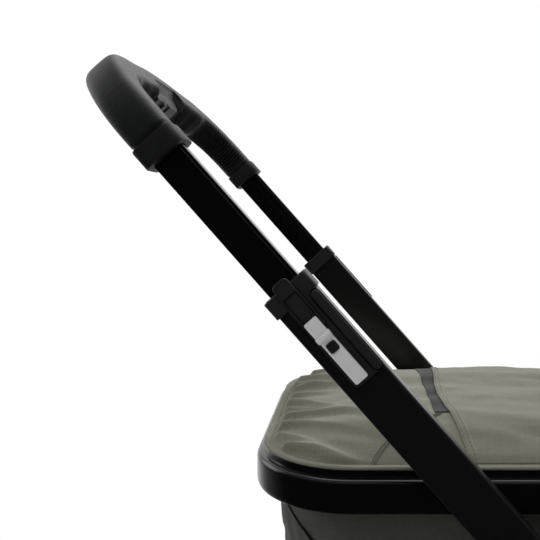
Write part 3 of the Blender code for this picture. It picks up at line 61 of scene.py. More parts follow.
import bmesh
import bpy
from mathutils import Matrix, Vector, noise

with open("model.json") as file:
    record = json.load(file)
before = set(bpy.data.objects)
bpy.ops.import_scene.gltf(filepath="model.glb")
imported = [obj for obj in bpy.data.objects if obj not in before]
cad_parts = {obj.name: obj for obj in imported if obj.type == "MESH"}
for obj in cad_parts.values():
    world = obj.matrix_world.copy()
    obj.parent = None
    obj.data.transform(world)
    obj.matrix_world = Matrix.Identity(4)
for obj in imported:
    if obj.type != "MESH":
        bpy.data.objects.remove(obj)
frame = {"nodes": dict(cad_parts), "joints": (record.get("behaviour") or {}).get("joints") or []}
CAD_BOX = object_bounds()
NODES = frame["nodes"]
JOINTS = {joint["name"]: joint for joint in frame["joints"]}
SIDES = (("right", -1), ("left", 1))

# Lines and planes of the frame
HUB = Vector(JOINTS["frame_fold"]["pos_m"])
UP_TUBE = Vector(JOINTS["handle_telescope"]["axis"]).normalized()
AHEAD_OF_TUBE = Vector((UP_TUBE.z, 0.0, -UP_TUBE.x))
TUBE_SPACE = Matrix.Translation(HUB) @ Matrix(
    ((AHEAD_OF_TUBE.x, 0.0, UP_TUBE.x), (0.0, 1.0, 0.0), (AHEAD_OF_TUBE.z, 0.0, UP_TUBE.z))
).to_4x4()
CANOPY_PIVOT = Vector(JOINTS["canopy_fold"]["pos_m"])
PICTURE = 540  # pixels on a side of the photograph
CLEAR = 0.0003  # between pieces that touch

finishes = {}


# Settings that a user would change


def length(name, text, default, low=0.0):
    return bpy.props.FloatProperty(
        name=name, description=text, default=default, min=low, max=2.0, unit="LENGTH", precision=4
    )


def power(name, text, default):
    return bpy.props.FloatProperty(name=name, description=text, default=default, min=0.2, max=8.0)


def angle_of(name, text, degrees):
    return bpy.props.FloatProperty(name=name, description=text, default=radians(degrees), subtype="ANGLE")


def count_of(name, text, default):
    return bpy.props.IntProperty(name=name, description=text, default=default, min=3)


def colour(name, text, default):
    return bpy.props.FloatVectorProperty(
        name=name, description=text, default=default, subtype="COLOR", size=3, min=0.0, max=1.0
    )


class PramSizes(bpy.types.PropertyGroup):
    corner_across: length("Corner across", "Grip's bend, across the pram", 0.120)
    corner_along: length("Corner along", "Grip's bend, along the tubes", 0.102)
    corner_power: power("Corner power", "Of the grip's bend; less is squarer", 0.91)
    section_power: power("Section power", "Of the grip's section; more is squarer", 3.96)
    crossbar_bow: length("Crossbar bow", "Rise of the crossbar's middle", 0.0084)
    gather_pitch: length("Gather pitch", "Between the gathers sewn inside the grip's legs", 0.0064)
    rib_pitch: length("Rib pitch", "Between the fine gathers under the crossbar", 0.0030)
    near_end: length("Near end", "Cap beside the fold housing, toward the right side", 0.016)
    tube_edge: length("Tube edge", "Round on the outer tubes' edges", 0.0034)
    piping: length("Piping", "Thickness of the apron's flat piping", 0.0030)
    lip: length("Lip", "Rim's raised lip under the piping", 0.0048)
    gather: length("Gather", "Height of the apron's gathers", 0.0122)
    stitch: length("Stitch", "Length of a stitch", 0.0032)
    tread: length("Tread", "Depth of the tyres' grooves", 0.0012)
    weave: length("Weave", "Pitch of the fabric's threads", 0.0009)


class PramColours(bpy.types.PropertyGroup):
    olive: colour("Olive fabric", "Apron and canopy", (0.190, 0.190, 0.148))
    dark_olive: colour("Dark fabric", "Carrycot body and basket", (0.060, 0.060, 0.047))
    leather: colour("Leatherette", "Grip and carry grip", (0.0125, 0.0135, 0.0145))
    gloss: colour("Gloss black", "Tubes and rim", (0.0028, 0.0028, 0.0031))
    matte: colour("Matte black", "Moulded pieces", (0.0140, 0.0142, 0.0148))
    grey_black: colour("Grey black", "Grip collars and fold housing", (0.0125, 0.0132, 0.014))
    # Near white, so that with the silver finish's low metallic it also carries a painted reflection.
    silver: colour("Silver", "Latch plates and brake pins", (0.98, 0.985, 1.0))
    rubber: colour("Rubber", "Tyres", (0.018, 0.018, 0.018))
    lining: colour("Lining", "Mattress and linings", (0.46, 0.46, 0.43))


def sizes():
    return bpy.context.scene.pram_sizes


def colours():
    return bpy.context.scene.pram_colours


# Node maths for the finishes


class Amount:
    """A node's output that takes part in Python arithmetic by adding Math nodes."""

    def __init__(self, nodes, socket):
        self.nodes = nodes
        self.socket = socket

    def math(self, operation, *values):
        return self.nodes.add("ShaderNodeMath", {"operation": operation}, dict(enumerate(values)))

    def __add__(self, other):
        return self.math("ADD", self, other)

    def __mul__(self, other):
        return self.math("MULTIPLY", self, other)

    __radd__ = __add__
    __rmul__ = __mul__

    def sine(self):
        return self.math("SINE", self)

    def size(self):
        return self.math("ABSOLUTE", self)

    def power(self, exponent):
        return self.math("POWER", self, exponent)

    def between(self, low, high, start=0.0, end=1.0):
        """The start value below low and the end value above high, smooth between them."""
        settings = {"interpolation_type": "SMOOTHSTEP"}
        ends = {"From Min": low, "From Max": high, "To Min": start, "To Max": end}
        return self.nodes.add("ShaderNodeMapRange", settings, {"Value": self, **ends})


class Nodes:
    """A node tree, and the nodes that are added to it."""

    def __init__(self, tree):
        self.tree = tree

    def feed(self, socket, value):
        if isinstance(value, Amount):
            self.tree.links.new(value.socket, socket)
        else:
            socket.default_value = value

    def add(self, kind, settings=None, inputs=None, output=0):
        node = self.tree.nodes.new(kind)
        for key, value in (settings or {}).items():
            setattr(node, key, value)
        for key, value in (inputs or {}).items():
            self.feed(node.inputs[key], value)
        return Amount(self, node.outputs[output])

    def axes(self, vector):
        node = self.tree.nodes.new("ShaderNodeSeparateXYZ")
        self.feed(node.inputs[0], vector)
        return [Amount(self, socket) for socket in node.outputs]

    def of_ray(self, kind):
        """1 for rays of a kind, such as those of the camera, and 0 for the rest."""
        return self.add("ShaderNodeLightPath", output=f"Is {kind} Ray")


class Finish(Nodes):
    """A material with its Principled shader and the nodes that feed it."""

    def __init__(self, name, base, roughness, **constants):
        self.material = bpy.data.materials.new(name)
        self.material.use_nodes = True
        super().__init__(self.material.node_tree)
        self.shader = self.tree.nodes["Principled BSDF"]
        self.base = (*base, 1.0)
        self.shader.inputs["Base Color"].default_value = self.base
        self.shader.inputs["Roughness"].default_value = roughness
        for key, value in constants.items():
            self.shader.inputs[key.replace("_", " ").title().replace("Ior", "IOR")].default_value = value
        self.material.diffuse_color = self.base

    def place(self, by_uv=False):
        return self.add("ShaderNodeTexCoord", output="UV" if by_uv else "Object")

    def stretched(self, vector, scale):
        return self.add("ShaderNodeMapping", inputs={"Vector": vector, "Scale": scale})

    def speckle(self, scale, detail=3.0, roughness=0.5, vector=None):
        """Noise from 0 to 1, of so many grains in a metre."""
        inputs = {"Scale": scale, "Detail": detail, "Roughness": roughness}
        inputs["Vector"] = vector or self.place()
        return self.add("ShaderNodeTexNoise", inputs=inputs)

    def cells(self, scale, vector=None, feature="F1"):
        inputs = {"Scale": scale, "Vector": vector or self.place()}
        return self.add("ShaderNodeTexVoronoi", {"feature": feature}, inputs)

    def tint(self, mask, low, high):
        """Colour between two shares of the base colour, by a mask."""
        inputs = {0: mask}
        for number, share in ((6, low), (7, high)):
            inputs[number] = (*[min(part * share, 1.0) for part in self.base[:3]], 1.0)
        mixed = self.add("ShaderNodeMix", {"data_type": "RGBA"}, inputs, output=2)
        self.feed(self.shader.inputs["Base Color"], mixed)

    def roughen(self, mask, low, high):
        self.feed(self.shader.inputs["Roughness"], mask * (high - low) + low)

    def relief(self, height):
        """Bump from a height in metres."""
        inputs = {"Height": height, "Distance": 1.0, "Strength": 1.0}
        bump = self.add("ShaderNodeBump", inputs=inputs, output="Normal")
        self.feed(self.shader.inputs["Normal"], bump)


# Finishes


def gloss_coating(name, base, roughness):
    made = Finish(name, base, roughness, coat_weight=0.25, coat_roughness=0.08, ior=1.45)
    haze = made.speckle(9.0, 4.0)
    dust = made.speckle(700.0, 2.0).between(0.66, 0.80)
    made.roughen(haze, roughness - 0.05, roughness + 0.08)
    made.tint(dust, 1.0, 3.0)
    peel = made.speckle(420.0, 2.0)
    made.relief(peel * 0.000004)
    return made


def moulded(name, base, roughness, grain=0.00003):
    made = Finish(name, base, roughness, ior=1.46)
    pits = made.cells(1900.0)
    mottle = made.speckle(60.0, 4.0)
    fine = made.speckle(2600.0, 2.0)
    made.tint(mottle, 0.82, 1.22)
    made.roughen(mottle, roughness - 0.06, roughness + 0.07)
    made.relief(pits * grain + fine * (grain * 0.6))
    return made


def leatherette():
    made = Finish("leatherette", colours().leather, 0.44, sheen_weight=0.03, specular_ior_level=0.35)
    warp = made.speckle(170.0, 3.0)
    place = made.place()
    shift = made.add("ShaderNodeCombineXYZ", inputs={0: warp, 1: warp, 2: warp})
    inputs = {0: shift, 1: (0.0016,) * 3, 2: place}
    bent = made.add("ShaderNodeVectorMath", {"operation": "MULTIPLY_ADD"}, inputs)
    grain = made.cells(640.0, bent, "DISTANCE_TO_EDGE")
    crease = grain.between(0.0, 0.22)
    pores = made.cells(1500.0)
    wear = made.speckle(22.0, 5.0)
    made.tint(wear * 0.7 + crease * 0.3, 0.68, 1.42)
    made.roughen(wear * 0.55 + crease * 0.45, 0.36, 0.58)
    made.relief(crease * 0.00013 + pores * 0.00004 + warp * 0.00025)
    return made


def woven(name, base, ribs=1.0):
    """Heathered plain weave: threads along and across the piece's UV map, with slubs."""
    softness = 0.9
    made = Finish(name, base, softness, sheen_weight=0.22, sheen_roughness=0.5, specular_ior_level=0.25)
    uv = made.place(by_uv=True)
    across, along, _ = made.axes(uv)
    turn = pi / sizes().weave
    warp = (across * turn).sine().size()
    weft = (along * turn).sine().size()
    cross = (across * (turn / 2)).sine() * (along * (turn / 2)).sine()
    threads = warp * 0.6 + weft * 0.4 + cross * 0.5
    slub_across = made.speckle(1.0, 3.0, 0.6, made.stretched(uv, (1400.0, 60.0, 1.0)))
    slub_along = made.speckle(1.0, 3.0, 0.6, made.stretched(uv, (60.0, 1400.0, 1.0)))
    heather = slub_across * 0.5 + slub_along * 0.5
    wash = made.speckle(7.0, 4.0)
    made.tint(heather.between(0.32, 0.68) * 0.7 + wash * 0.3, 0.70, 1.30)
    made.roughen(heather, softness - 0.08, softness + 0.05)
    made.relief(threads * (0.00009 * ribs) + heather * 0.00007)
    return made


def satin_metal_painted_reflection():
    # Silver is the plates' own tone, but their brightness is painted reflection: a near-white diffuse base
    # with almost no metallic stands in for the light that a satin metal would mirror.
    made = Finish("silver_satin", colours().silver, 0.42, metallic=0.04)
    grain = made.speckle(1.0, 3.0, 0.6, made.stretched(made.place(), (2600.0, 2600.0, 2600.0)))
    cloud = made.speckle(90.0, 3.0)
    made.tint(grain, 0.90, 1.06)
    made.roughen(cloud * 0.5 + grain * 0.5, 0.30, 0.46)
    made.relief(grain * 0.000012)
    return made


def tyre_rubber():
    made = Finish("tyre_rubber", colours().rubber, 0.78, sheen_weight=0.08)
    dust = made.speckle(45.0, 5.0)
    fine = made.speckle(1500.0, 2.0)
    made.tint(dust, 0.75, 1.45)
    made.roughen(dust, 0.70, 0.86)
    made.relief(fine * 0.00005)
    return made


def thread(name, share):
    base = [min(part * share, 1.0) for part in colours().olive]
    made = Finish(name, base, 0.7, sheen_weight=0.15)
    twist = made.speckle(2200.0, 2.0)
    made.tint(twist, 0.7, 1.25)
    made.relief(twist * 0.00005)
    return made


def make_finishes():
    tones = colours()
    finishes.update(
        gloss=gloss_coating("gloss_black_tube", tones.gloss, 0.17),
        rim=gloss_coating("gloss_black_rim", tones.gloss, 0.20),
        # Partly painted light: the higher roughness is the outer tubes' satin finish, but their base, 2.6
        # times the gloss black, lightens them to show soft grey light on their faces.
        satin=gloss_coating("satin_black_tube_painted_light", [part * 2.6 for part in tones.gloss], 0.40),
        matte=moulded("matte_black_plastic", tones.matte, 0.50),
        soft_touch=moulded("soft_touch_black", tones.matte, 0.62, 0.00002),
        grey=moulded("grey_black_plastic", tones.grey_black, 0.56),
        # Painted light: the fold housing takes the collars' grey black made twice as light, lifting it out
        # of the shade under the crossbar.
        housing=moulded("housing_plastic_painted_light", [part * 2.0 for part in tones.grey_black], 0.48),
        # Painted light: the latch mouldings take the matte black made 1.6 times as light, standing in for
        # the light that they catch.
        latch=moulded("latch_plastic_painted_light", [part * 1.6 for part in tones.matte], 0.46),
        leather=leatherette(),
        olive=woven("olive_fabric", tones.olive),
        binding=woven("olive_binding", [part * 0.62 for part in tones.olive], 1.6),
        dark=woven("dark_fabric", tones.dark_olive),
        strip=woven("black_tape", [part * 0.16 for part in tones.dark_olive], 1.6),
        lining=woven("lining_cotton", tones.lining, 0.8),
        silver=satin_metal_painted_reflection(),
        rubber=tyre_rubber(),
        thread=thread("seam_thread", 0.55),
    )


# Mesh tools


def place_of(a, b, along, axis):
    """Point of an outline (a, b) at a distance along the axis that the outline is square to."""
    if axis == "x":
        return Vector((along, a, b))
    if axis == "y":
        return Vector((a, along, b))
    return Vector((a, b, along))


def arc(centre, radius, first, last, steps):
    turns = [first + (last - first) * i / steps for i in range(steps + 1)]
    return [(centre[0] + radius * cos(t), centre[1] + radius * sin(t)) for t in turns]


def rounded(low, high, radius, steps=6):
    """Rectangle with round corners from low to high, anticlockwise."""
    centres = (
        (high[0] - radius, high[1] - radius),
        (low[0] + radius, high[1] - radius),
        (low[0] + radius, low[1] + radius),
        (high[0] - radius, low[1] + radius),
    )
    points = []
    for quarter, centre in enumerate(centres):
        points += arc(centre, radius, quarter * pi / 2, (quarter + 1) * pi / 2, steps)
    return points


def stadium(start, end, radius, steps=12):
    heading = atan2(end[1] - start[1], end[0] - start[0])
    return arc(end, radius, heading - pi / 2, heading + pi / 2, steps) + arc(
        start, radius, heading + pi / 2, heading + 3 * pi / 2, steps
    )


def slab(outline, axis, low, high):
    """Outline pushed along an axis into a solid."""
    mesh = bmesh.new()
    face = mesh.faces.new([mesh.verts.new(place_of(a, b, low, axis)) for a, b in outline])
    grown = bmesh.ops.extrude_face_region(mesh, geom=[face])
    verts = [item for item in grown["geom"] if isinstance(item, bmesh.types.BMVert)]
    bmesh.ops.translate(mesh, verts=verts, vec=place_of(0.0, 0.0, high - low, axis))
    bmesh.ops.recalc_face_normals(mesh, faces=mesh.faces)
    return mesh


def pipe(outer, inner, axis, low, high):
    """Two outlines with as many points each, pushed along an axis into a wall."""
    mesh = bmesh.new()
    rings = []
    for outline, along in ((outer, low), (outer, high), (inner, high), (inner, low)):
        rings.append([mesh.verts.new(place_of(a, b, along, axis)) for a, b in outline])
    for ring in rings:
        for a, b in zip(ring, ring[1:] + ring[:1]):
            mesh.edges.new((a, b))
    for one, other in zip(rings, rings[1:] + rings[:1]):
        edges = [edge for edge in mesh.edges if all(vert in one for vert in edge.verts)]
        edges += [edge for edge in mesh.edges if all(vert in other for vert in edge.verts)]
        bmesh.ops.bridge_loops(mesh, edges=edges)
    bmesh.ops.recalc_face_normals(mesh, faces=mesh.faces)
    return mesh


def soften(mesh, width, segments=3, least=25.0, keep=None):
    """Rounds the edges that turn by more than the least angle, in degrees."""
    edges = [
        edge
        for edge in mesh.edges
        if len(edge.link_faces) == 2
        and edge.calc_face_angle() > radians(least)
        and (keep is None or keep(edge))
    ]
    bmesh.ops.bevel(
        mesh,
        geom=edges,
        offset=width,
        segments=segments,
        profile=0.5,
        affect="EDGES",
        material=-1,
        clamp_overlap=True,
    )
    return mesh


def block(outline, axis, low, high, width, segments=3, least=60.0):
    """Slab with its edges rounded."""
    return soften(slab(outline, axis, low, high), width, segments, least)


def band(inner, outer, low, high, edge):
    """Profile of a turned ring with rounded outer edges, or of a rod where the inner radius is 0."""
    return [
        (inner, low),
        (outer - edge, low),
        (outer, low + edge),
        (outer, high - edge),
        (outer - edge, high),
        (inner, high),
    ]


def sink(mesh, faces, wall, shift):
    """Moves faces by a shift, inside a wall left standing round them."""
    bmesh.ops.inset_region(mesh, faces=faces, thickness=wall, use_even_offset=True)
    grown = bmesh.ops.extrude_face_region(mesh, geom=faces)
    verts = [item for item in grown["geom"] if isinstance(item, bmesh.types.BMVert)]
    bmesh.ops.delete(mesh, geom=faces, context="FACES")
    bmesh.ops.translate(mesh, verts=verts, vec=shift)


def joined(*meshes):
    """Several meshes as one."""
    whole = meshes[0]
    for other in meshes[1:]:
        data = bpy.data.meshes.new("joining")
        other.to_mesh(data)
        other.free()
        whole.from_mesh(data)
        bpy.data.meshes.remove(data)
    return whole


def surface(shape, across, along, sewn=True, reach=None):
    """Grid of quads laid on shape(u, v), u and v from 0 to 1; sewn edges that meet are merged."""
    mesh = bmesh.new()
    bmesh.ops.create_grid(mesh, x_segments=across, y_segments=along, size=0.5)
    sheet = mesh.loops.layers.uv.new("UVMap")
    for face in mesh.faces:
        for loop in face.loops:
            u, v = loop.vert.co.x + 0.5, loop.vert.co.y + 0.5
            loop[sheet].uv = (u * reach[0], v * reach[1]) if reach else (u, v)
    for vert in mesh.verts:
        vert.co = shape(min(max(vert.co.x + 0.5, 0.0), 1.0), min(max(vert.co.y + 0.5, 0.0), 1.0))
    if sewn:
        bmesh.ops.remove_doubles(mesh, verts=mesh.verts, dist=1e-6)
    bmesh.ops.recalc_face_normals(mesh, faces=mesh.faces)
    return mesh


def close_ends(mesh):
    edges = [edge for edge in mesh.edges if edge.is_boundary]
    bmesh.ops.holes_fill(mesh, edges=edges, sides=0)
    bmesh.ops.recalc_face_normals(mesh, faces=mesh.faces)
    return mesh


def turned(profile, centre, axis="y", steps=96, closed=True):
    """Profile of (radius, along) spun about an axis through the centre."""
    mesh = bmesh.new()
    spin = {"x": Vector((1, 0, 0)), "y": Vector((0, 1, 0)), "z": Vector((0, 0, 1))}[axis]
    verts = [mesh.verts.new(place_of(r, 0.0, along, axis)) for r, along in profile]
    pairs = list(zip(verts, verts[1:] + verts[:1])) if closed else list(zip(verts, verts[1:]))
    edges = [mesh.edges.new(pair) for pair in pairs]
    bmesh.ops.spin(
        mesh, geom=verts + edges, cent=(0, 0, 0), axis=spin, angle=2 * pi, steps=steps, use_merge=True
    )
    bmesh.ops.remove_doubles(mesh, verts=mesh.verts, dist=1e-6)
    bmesh.ops.recalc_face_normals(mesh, faces=mesh.faces)
    bmesh.ops.translate(mesh, vec=centre, verts=mesh.verts)
    return mesh


def bar(points, radius, sides=16, closed=False, squash=1.0, flat=None):
    """Round bar along points; squash flattens it along the direction flat."""
    count = len(points)
    up = flat or Vector((0.0, 0.0, 1.0))

    def shape(u, v):
        at = v * (count if closed else count - 1)
        i = int(min(at, count - 1 if closed else count - 2))
        here, there = points[i % count], points[(i + 1) % count]
        middle = here.lerp(there, at - i)
        before = points[(i - 1) % count] if closed or i else here
        after = points[(i + 2) % count] if closed or i < count - 2 else there
        heading = (there - here).normalized().lerp(((after - before).normalized()), 0.5).normalized()
        side = heading.cross(up)
        side = side.normalized() if side.length > 1e-4 else Vector((0.0, 1.0, 0.0))
        over = side.cross(heading)
        turn = 2 * pi * u
        return middle + side * (radius * cos(turn)) + over * (radius * squash * sin(turn))

    rows = (count if closed else count - 1)
    mesh = surface(shape, sides, rows, reach=(2 * pi * radius, rows * 0.005))
    return mesh if closed else close_ends(mesh)


def cloth_map(mesh):
    """UV map in metres, laid flat from whichever side each face looks to."""
    sheet = mesh.loops.layers.uv.verify()
    for face in mesh.faces:
        normal = [abs(part) for part in face.normal]
        drop = normal.index(max(normal))
        keep = [number for number in range(3) if number != drop]
        for loop in face.loops:
            loop[sheet].uv = (loop.vert.co[keep[0]], loop.vert.co[keep[1]])
    return mesh


def linked(name, data):
    made = bpy.data.objects.new(name, data)
    bpy.context.scene.collection.objects.link(made)
    return made


def settle(name, mesh, finish, body, slot, replaces=(), sharp=35.0, thickness=0.0):
    """Makes the piece's object, finished and riding on its body."""
    data = bpy.data.meshes.new(name)
    mesh.to_mesh(data)
    mesh.free()
    made = linked(name, data)
    data.materials.append(finishes[finish].material)
    data.shade_smooth()
    data.set_sharp_from_angle(angle=radians(sharp))
    if thickness:
        wall = made.modifiers.new("Thickness", "SOLIDIFY")
        wall.thickness = thickness
        wall.offset = -1.0
    if body:
        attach(made, body)
    if replaces:
        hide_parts(*replaces)
    return made


def in_tube_space(mesh):
    bmesh.ops.transform(mesh, matrix=TUBE_SPACE, verts=mesh.verts)
    bmesh.ops.recalc_face_normals(mesh, faces=mesh.faces)
    return mesh


def corners(points):
    """Lowest and highest corner of points."""
    return [Vector([pick(point[i] for point in points) for i in range(3)]) for pick in (min, max)]


def tube_box(node):
    """Lowest and highest corner of a node in the tubes' own frame."""
    turned_back = TUBE_SPACE.inverted()
    return corners([turned_back @ vert.co for vert in NODES[node].data.vertices])


def reach_across(node, kept):
    """Least and greatest distance from the pram's middle plane, of a solid's points that are kept."""
    reaches = [abs(vert.co.y) for vert in NODES[node].data.vertices if kept(vert.co)]
    return min(reaches), max(reaches)


def box_of(node):
    """Lowest and highest corner of a node, in world axes."""
    return corners([vert.co for vert in NODES[node].data.vertices])


def finishes_of_node(node, finish):
    """Gives a frame solid that stays in view its finish."""
    data = NODES[node].data
    data.materials.clear()
    data.materials.append(finishes[finish].material)


def area_of(made):
    """Area of a piece's cloth, before its thickness."""
    return sum(face.area for face in made.data.polygons)


def casting(node, width, segments=3, least=30.0):
    """Copy of a frame solid as one skin, with its edges rounded."""
    mesh = bmesh.new()
    mesh.from_mesh(NODES[node].data)
    bmesh.ops.remove_doubles(mesh, verts=mesh.verts, dist=0.00002)
    bmesh.ops.dissolve_limit(
        mesh, angle_limit=radians(1.0), verts=mesh.verts, edges=mesh.edges, use_dissolve_boundaries=False
    )
    return soften(mesh, width, segments, least)


def recast(node, width, finish, body, slot, end="moulding", segments=3, least=30.0):
    """Copy of a frame solid with rounded edges in the solid's place, its name ending as told."""
    settle(f"{node}_{end}", casting(node, width, segments, least), finish, body, slot, (node,))


class Line:
    """Points in a plane, walked by length."""

    def __init__(self, points):
        self.points = [Vector(point) for point in points]
        self.at_length = [0.0]
        for a, b in zip(self.points, self.points[1:]):
            self.at_length.append(self.at_length[-1] + (b - a).length)
        self.length = self.at_length[-1]

    def walk(self, where):
        """Point at a length, and the line's heading there."""
        i = min(max(bisect_right(self.at_length, where), 1), len(self.points) - 1)
        a, b = self.points[i - 1], self.points[i]
        span = self.at_length[i] - self.at_length[i - 1]
        point = a.lerp(b, (where - self.at_length[i - 1]) / span if span else 0.0)
        before = self.points[max(i - 2, 0)]
        after = self.points[min(i + 1, len(self.points) - 1)]
        return point, (after - before).normalized()


class Plan(Line):
    """Rounded rectangle in plan, walked by a share of its length from the middle of its back."""

    def __init__(self, back, front, half, back_corner, front_corner):
        outline = [(back, 0.0)]
        turns = (
            ((back + back_corner, -half + back_corner), back_corner, pi),
            ((front - front_corner, -half + front_corner), front_corner, 1.5 * pi),
            ((front - front_corner, half - front_corner), front_corner, 2 * pi),
            ((back + back_corner, half - back_corner), back_corner, 2.5 * pi),
        )
        for centre, radius, first in turns:
            outline += arc(centre, radius, first, first + pi / 2, 24)
        super().__init__(outline + outline[:1])

    def point(self, share):
        """Point on the outline and the direction out of it."""
        where, along = self.walk((share % 1.0) * self.length)
        return where, Vector((along.y, -along.x))


def smooth_step(value, low, high):
    share = min(max((value - low) / (high - low), 0.0), 1.0)
    return share * share * (3.0 - 2.0 * share)


def hump(distance, width):
    """1 at no distance, and close to 0 at twice the width and beyond."""
    return exp(-((distance / width) ** 2))


def signed_power(value, exponent):
    return abs(value) ** exponent * (1 if value >= 0 else -1)


def at_height(point, height):
    """A point of a plan, raised to a height."""
    return Vector((point.x, point.y, height))


def ray(angle):
    """Direction at an angle up from straight ahead."""
    return Vector((cos(angle), 0.0, sin(angle)))


def ripple(x, y, z=0.0, scale=1.0):
    """Smooth noise from -1 to 1."""
    return noise.noise(Vector((x, y, z)) * scale)


# Stage: camera, light and floor


class PRAM_OT_stage(bpy.types.Operator):
    """Camera at the photograph's angle, soft studio light and a pale floor"""

    bl_idname = "pram.stage"
    bl_label = "Stage"

    eye_back: length("Eye behind the hub", "Camera along the pram, behind the hub", 0.250)
    eye_y: length("Eye along Y", "Camera beside the pram's right side", -0.92, -3.0)
    eye_z: length("Eye height", "Camera over the floor", 0.9295)

    def execute(self, context):
        straight_ahead = (358.0, 213.0)  # pixel that the camera's level axis meets
        focal = 697.0  # pixels
        lens = bpy.data.cameras.new("photo_camera")
        lens.sensor_width = 36.0
        lens.lens = focal / PICTURE * lens.sensor_width
        lens.shift_x = (PICTURE / 2 - straight_ahead[0]) / PICTURE
        lens.shift_y = (straight_ahead[1] - PICTURE / 2) / PICTURE
        lens.clip_start = 0.02
        camera = linked("photo_camera", lens)
        camera.location = (HUB.x - self.eye_back, self.eye_y, self.eye_z)
        camera.rotation_euler = (pi / 2, 0.0, 0.0)
        context.scene.camera = camera
        context.scene.view_settings.view_transform = "Standard"
        self.light(context)
        self.floor(context)
        return {"FINISHED"}

    def light(self, context):
        middle = Vector((0.0, 0.0, 0.6))
        lamps = (
            ("top_light", (0.1, 0.9, 2.9), 2.4, 26.0, True),
            ("back_key", (0.9, 2.2, 1.50), 0.5, 50.0, False),
            ("front_fill", (-1.0, -1.9, 3.0), 1.1, 16.0, False),
            ("rear_light", (-2.6, 0.9, 1.5), 1.6, 13.0, True),
            ("ahead_light", (2.6, 0.6, 1.9), 1.8, 8.0, True),
        )
        for name, where, size, watts, mirrored in lamps:
            lamp = bpy.data.lights.new(name, "AREA")
            lamp.shape = "SQUARE"
            lamp.size = size
            lamp.energy = watts
            holder = linked(name, lamp)
            holder.location = where
            holder.rotation_euler = (Vector(where) - middle).to_track_quat("Z", "Y").to_euler()
            holder.visible_glossy = mirrored
        self.surroundings(context)

    def surroundings(self, context):
        """White to the eye; to the pram, bright above and beyond it and dark on the camera's side."""
        world = bpy.data.worlds.new("studio")
        context.scene.world = world
        world.use_nodes = True
        nodes = Nodes(world.node_tree)
        _, y, z = nodes.axes(nodes.add("ShaderNodeTexCoord", output="Generated"))
        lit = nodes.tree.nodes["Background"]
        across = y.between(-0.10, 0.80, 0.012, 0.30)
        nodes.feed(lit.inputs["Color"], across + z.between(0.30, 0.95, 0.0, 0.40))
        white = nodes.add("ShaderNodeBackground", inputs={"Color": (1.0, 1.0, 1.0, 1.0)})
        backdrop = (nodes.of_ray("Glossy") + nodes.of_ray("Transmission")) * y.between(0.45, 0.95)
        shares = {0: nodes.of_ray("Camera") + backdrop, 1: Amount(nodes, lit.outputs[0]), 2: white}
        mixed = nodes.add("ShaderNodeMixShader", inputs=shares)
        nodes.feed(nodes.tree.nodes["World Output"].inputs["Surface"], mixed)

    def floor(self, context):
        mesh = bmesh.new()
        bmesh.ops.create_grid(mesh, x_segments=2, y_segments=2, size=14.0)
        bmesh.ops.translate(mesh, vec=(0.0, 0.0, CAD_BOX[0].z - CLEAR), verts=mesh.verts)
        data = bpy.data.meshes.new("floor")
        mesh.to_mesh(data)
        mesh.free()
        made = linked("floor", data)
        finish = Finish("pale_floor", (0.86, 0.86, 0.86), 0.85)
        glow = finish.add("ShaderNodeEmission", inputs={"Color": (1.0, 1.0, 1.0, 1.0), "Strength": 1.0})
        x, y, _ = finish.axes(finish.place())
        far = (x * x + y * y).power(0.5).between(0.45, 1.25)
        seen = finish.of_ray("Camera")
        shader = Amount(finish, finish.shader.outputs[0])
        shares = {0: far * seen * 0.85 + seen * 0.15, 1: shader, 2: glow}
        mixed = finish.add("ShaderNodeMixShader", inputs=shares)
        finish.feed(finish.tree.nodes["Material Output"].inputs["Surface"], mixed)
        data.materials.append(finish.material)
        made.visible_glossy = False


# Handle and its tubes


class PRAM_OT_tubes(bpy.types.Operator):
    """Two flat outer tubes and the two inner tubes that slide in them"""

    bl_idname = "pram.tubes"
    bl_label = "Handle tubes"

    def execute(self, context):
        for side, sign in SIDES:
            self.outer(side)
            self.inner(side, sign)
        finishes_of_node("handle_core", "gloss")
        return {"FINISHED"}

    def outer(self, side):
        node = f"outer_tube_{side}"
        low, high = tube_box(node)
        half = high.x
        outline = [(half, high.z), (-half, high.z)] + arc((0.0, 0.0), half, pi, 2 * pi, 40)
        mesh = slab(outline, "y", low.y, high.y)
        ends = high.z - 0.0005

        def rim_edge(edge):
            a, b = edge.verts
            return abs(a.co.y - b.co.y) < 1e-6 and min(a.co.z, b.co.z) < ends

        soften(mesh, sizes().tube_edge, 5, 25.0, rim_edge)
        top = [face for face in mesh.faces if face.calc_center_median().z > ends]
        wall, beyond = 0.0037, 0.17  # of the tube, and the bore's depth beyond the handle's travel
        bore = JOINTS["handle_telescope"]["range_m"][0] - beyond
        sink(mesh, top, wall, Vector((0.0, 0.0, bore)))
        # The satin finish's lighter base is painted light.
        settle(f"{node}_skin", in_tube_space(mesh), "satin", "upper_frame", "gloss_tube", (node,))

    def inner(self, side, sign):
        node = f"inner_tube_{side}"
        low, high = tube_box(node)
        ledge = 0.0032  # recessed band along each edge of the flat face
        step = 0.0007
        edge = 0.0008
        outer_y, inner_y = (low.y, high.y) if sign < 0 else (high.y, low.y)
        inward = 1.0 if sign < 0 else -1.0
        outline = [
            (high.x - ledge - step, outer_y),
            (high.x - ledge, outer_y + inward * step),
            (high.x - edge, outer_y + inward * step),
            (high.x, outer_y + inward * (step + edge)),
            (high.x, inner_y - inward * (step + edge)),
            (high.x - edge, inner_y - inward * step),
            (high.x - ledge, inner_y - inward * step),
            (high.x - ledge - step, inner_y),
        ]
        outline += [(-a, b) for a, b in reversed(outline)]
        mesh = slab(outline, "z", low.z, high.z)
        soften(mesh, 0.0003, 2, 20.0, lambda line: abs(line.verts[0].co.z - line.verts[1].co.z) > 0.01)
        settle(f"{node}_skin", in_tube_space(mesh), "gloss", "handle", "gloss_tube", (node,))


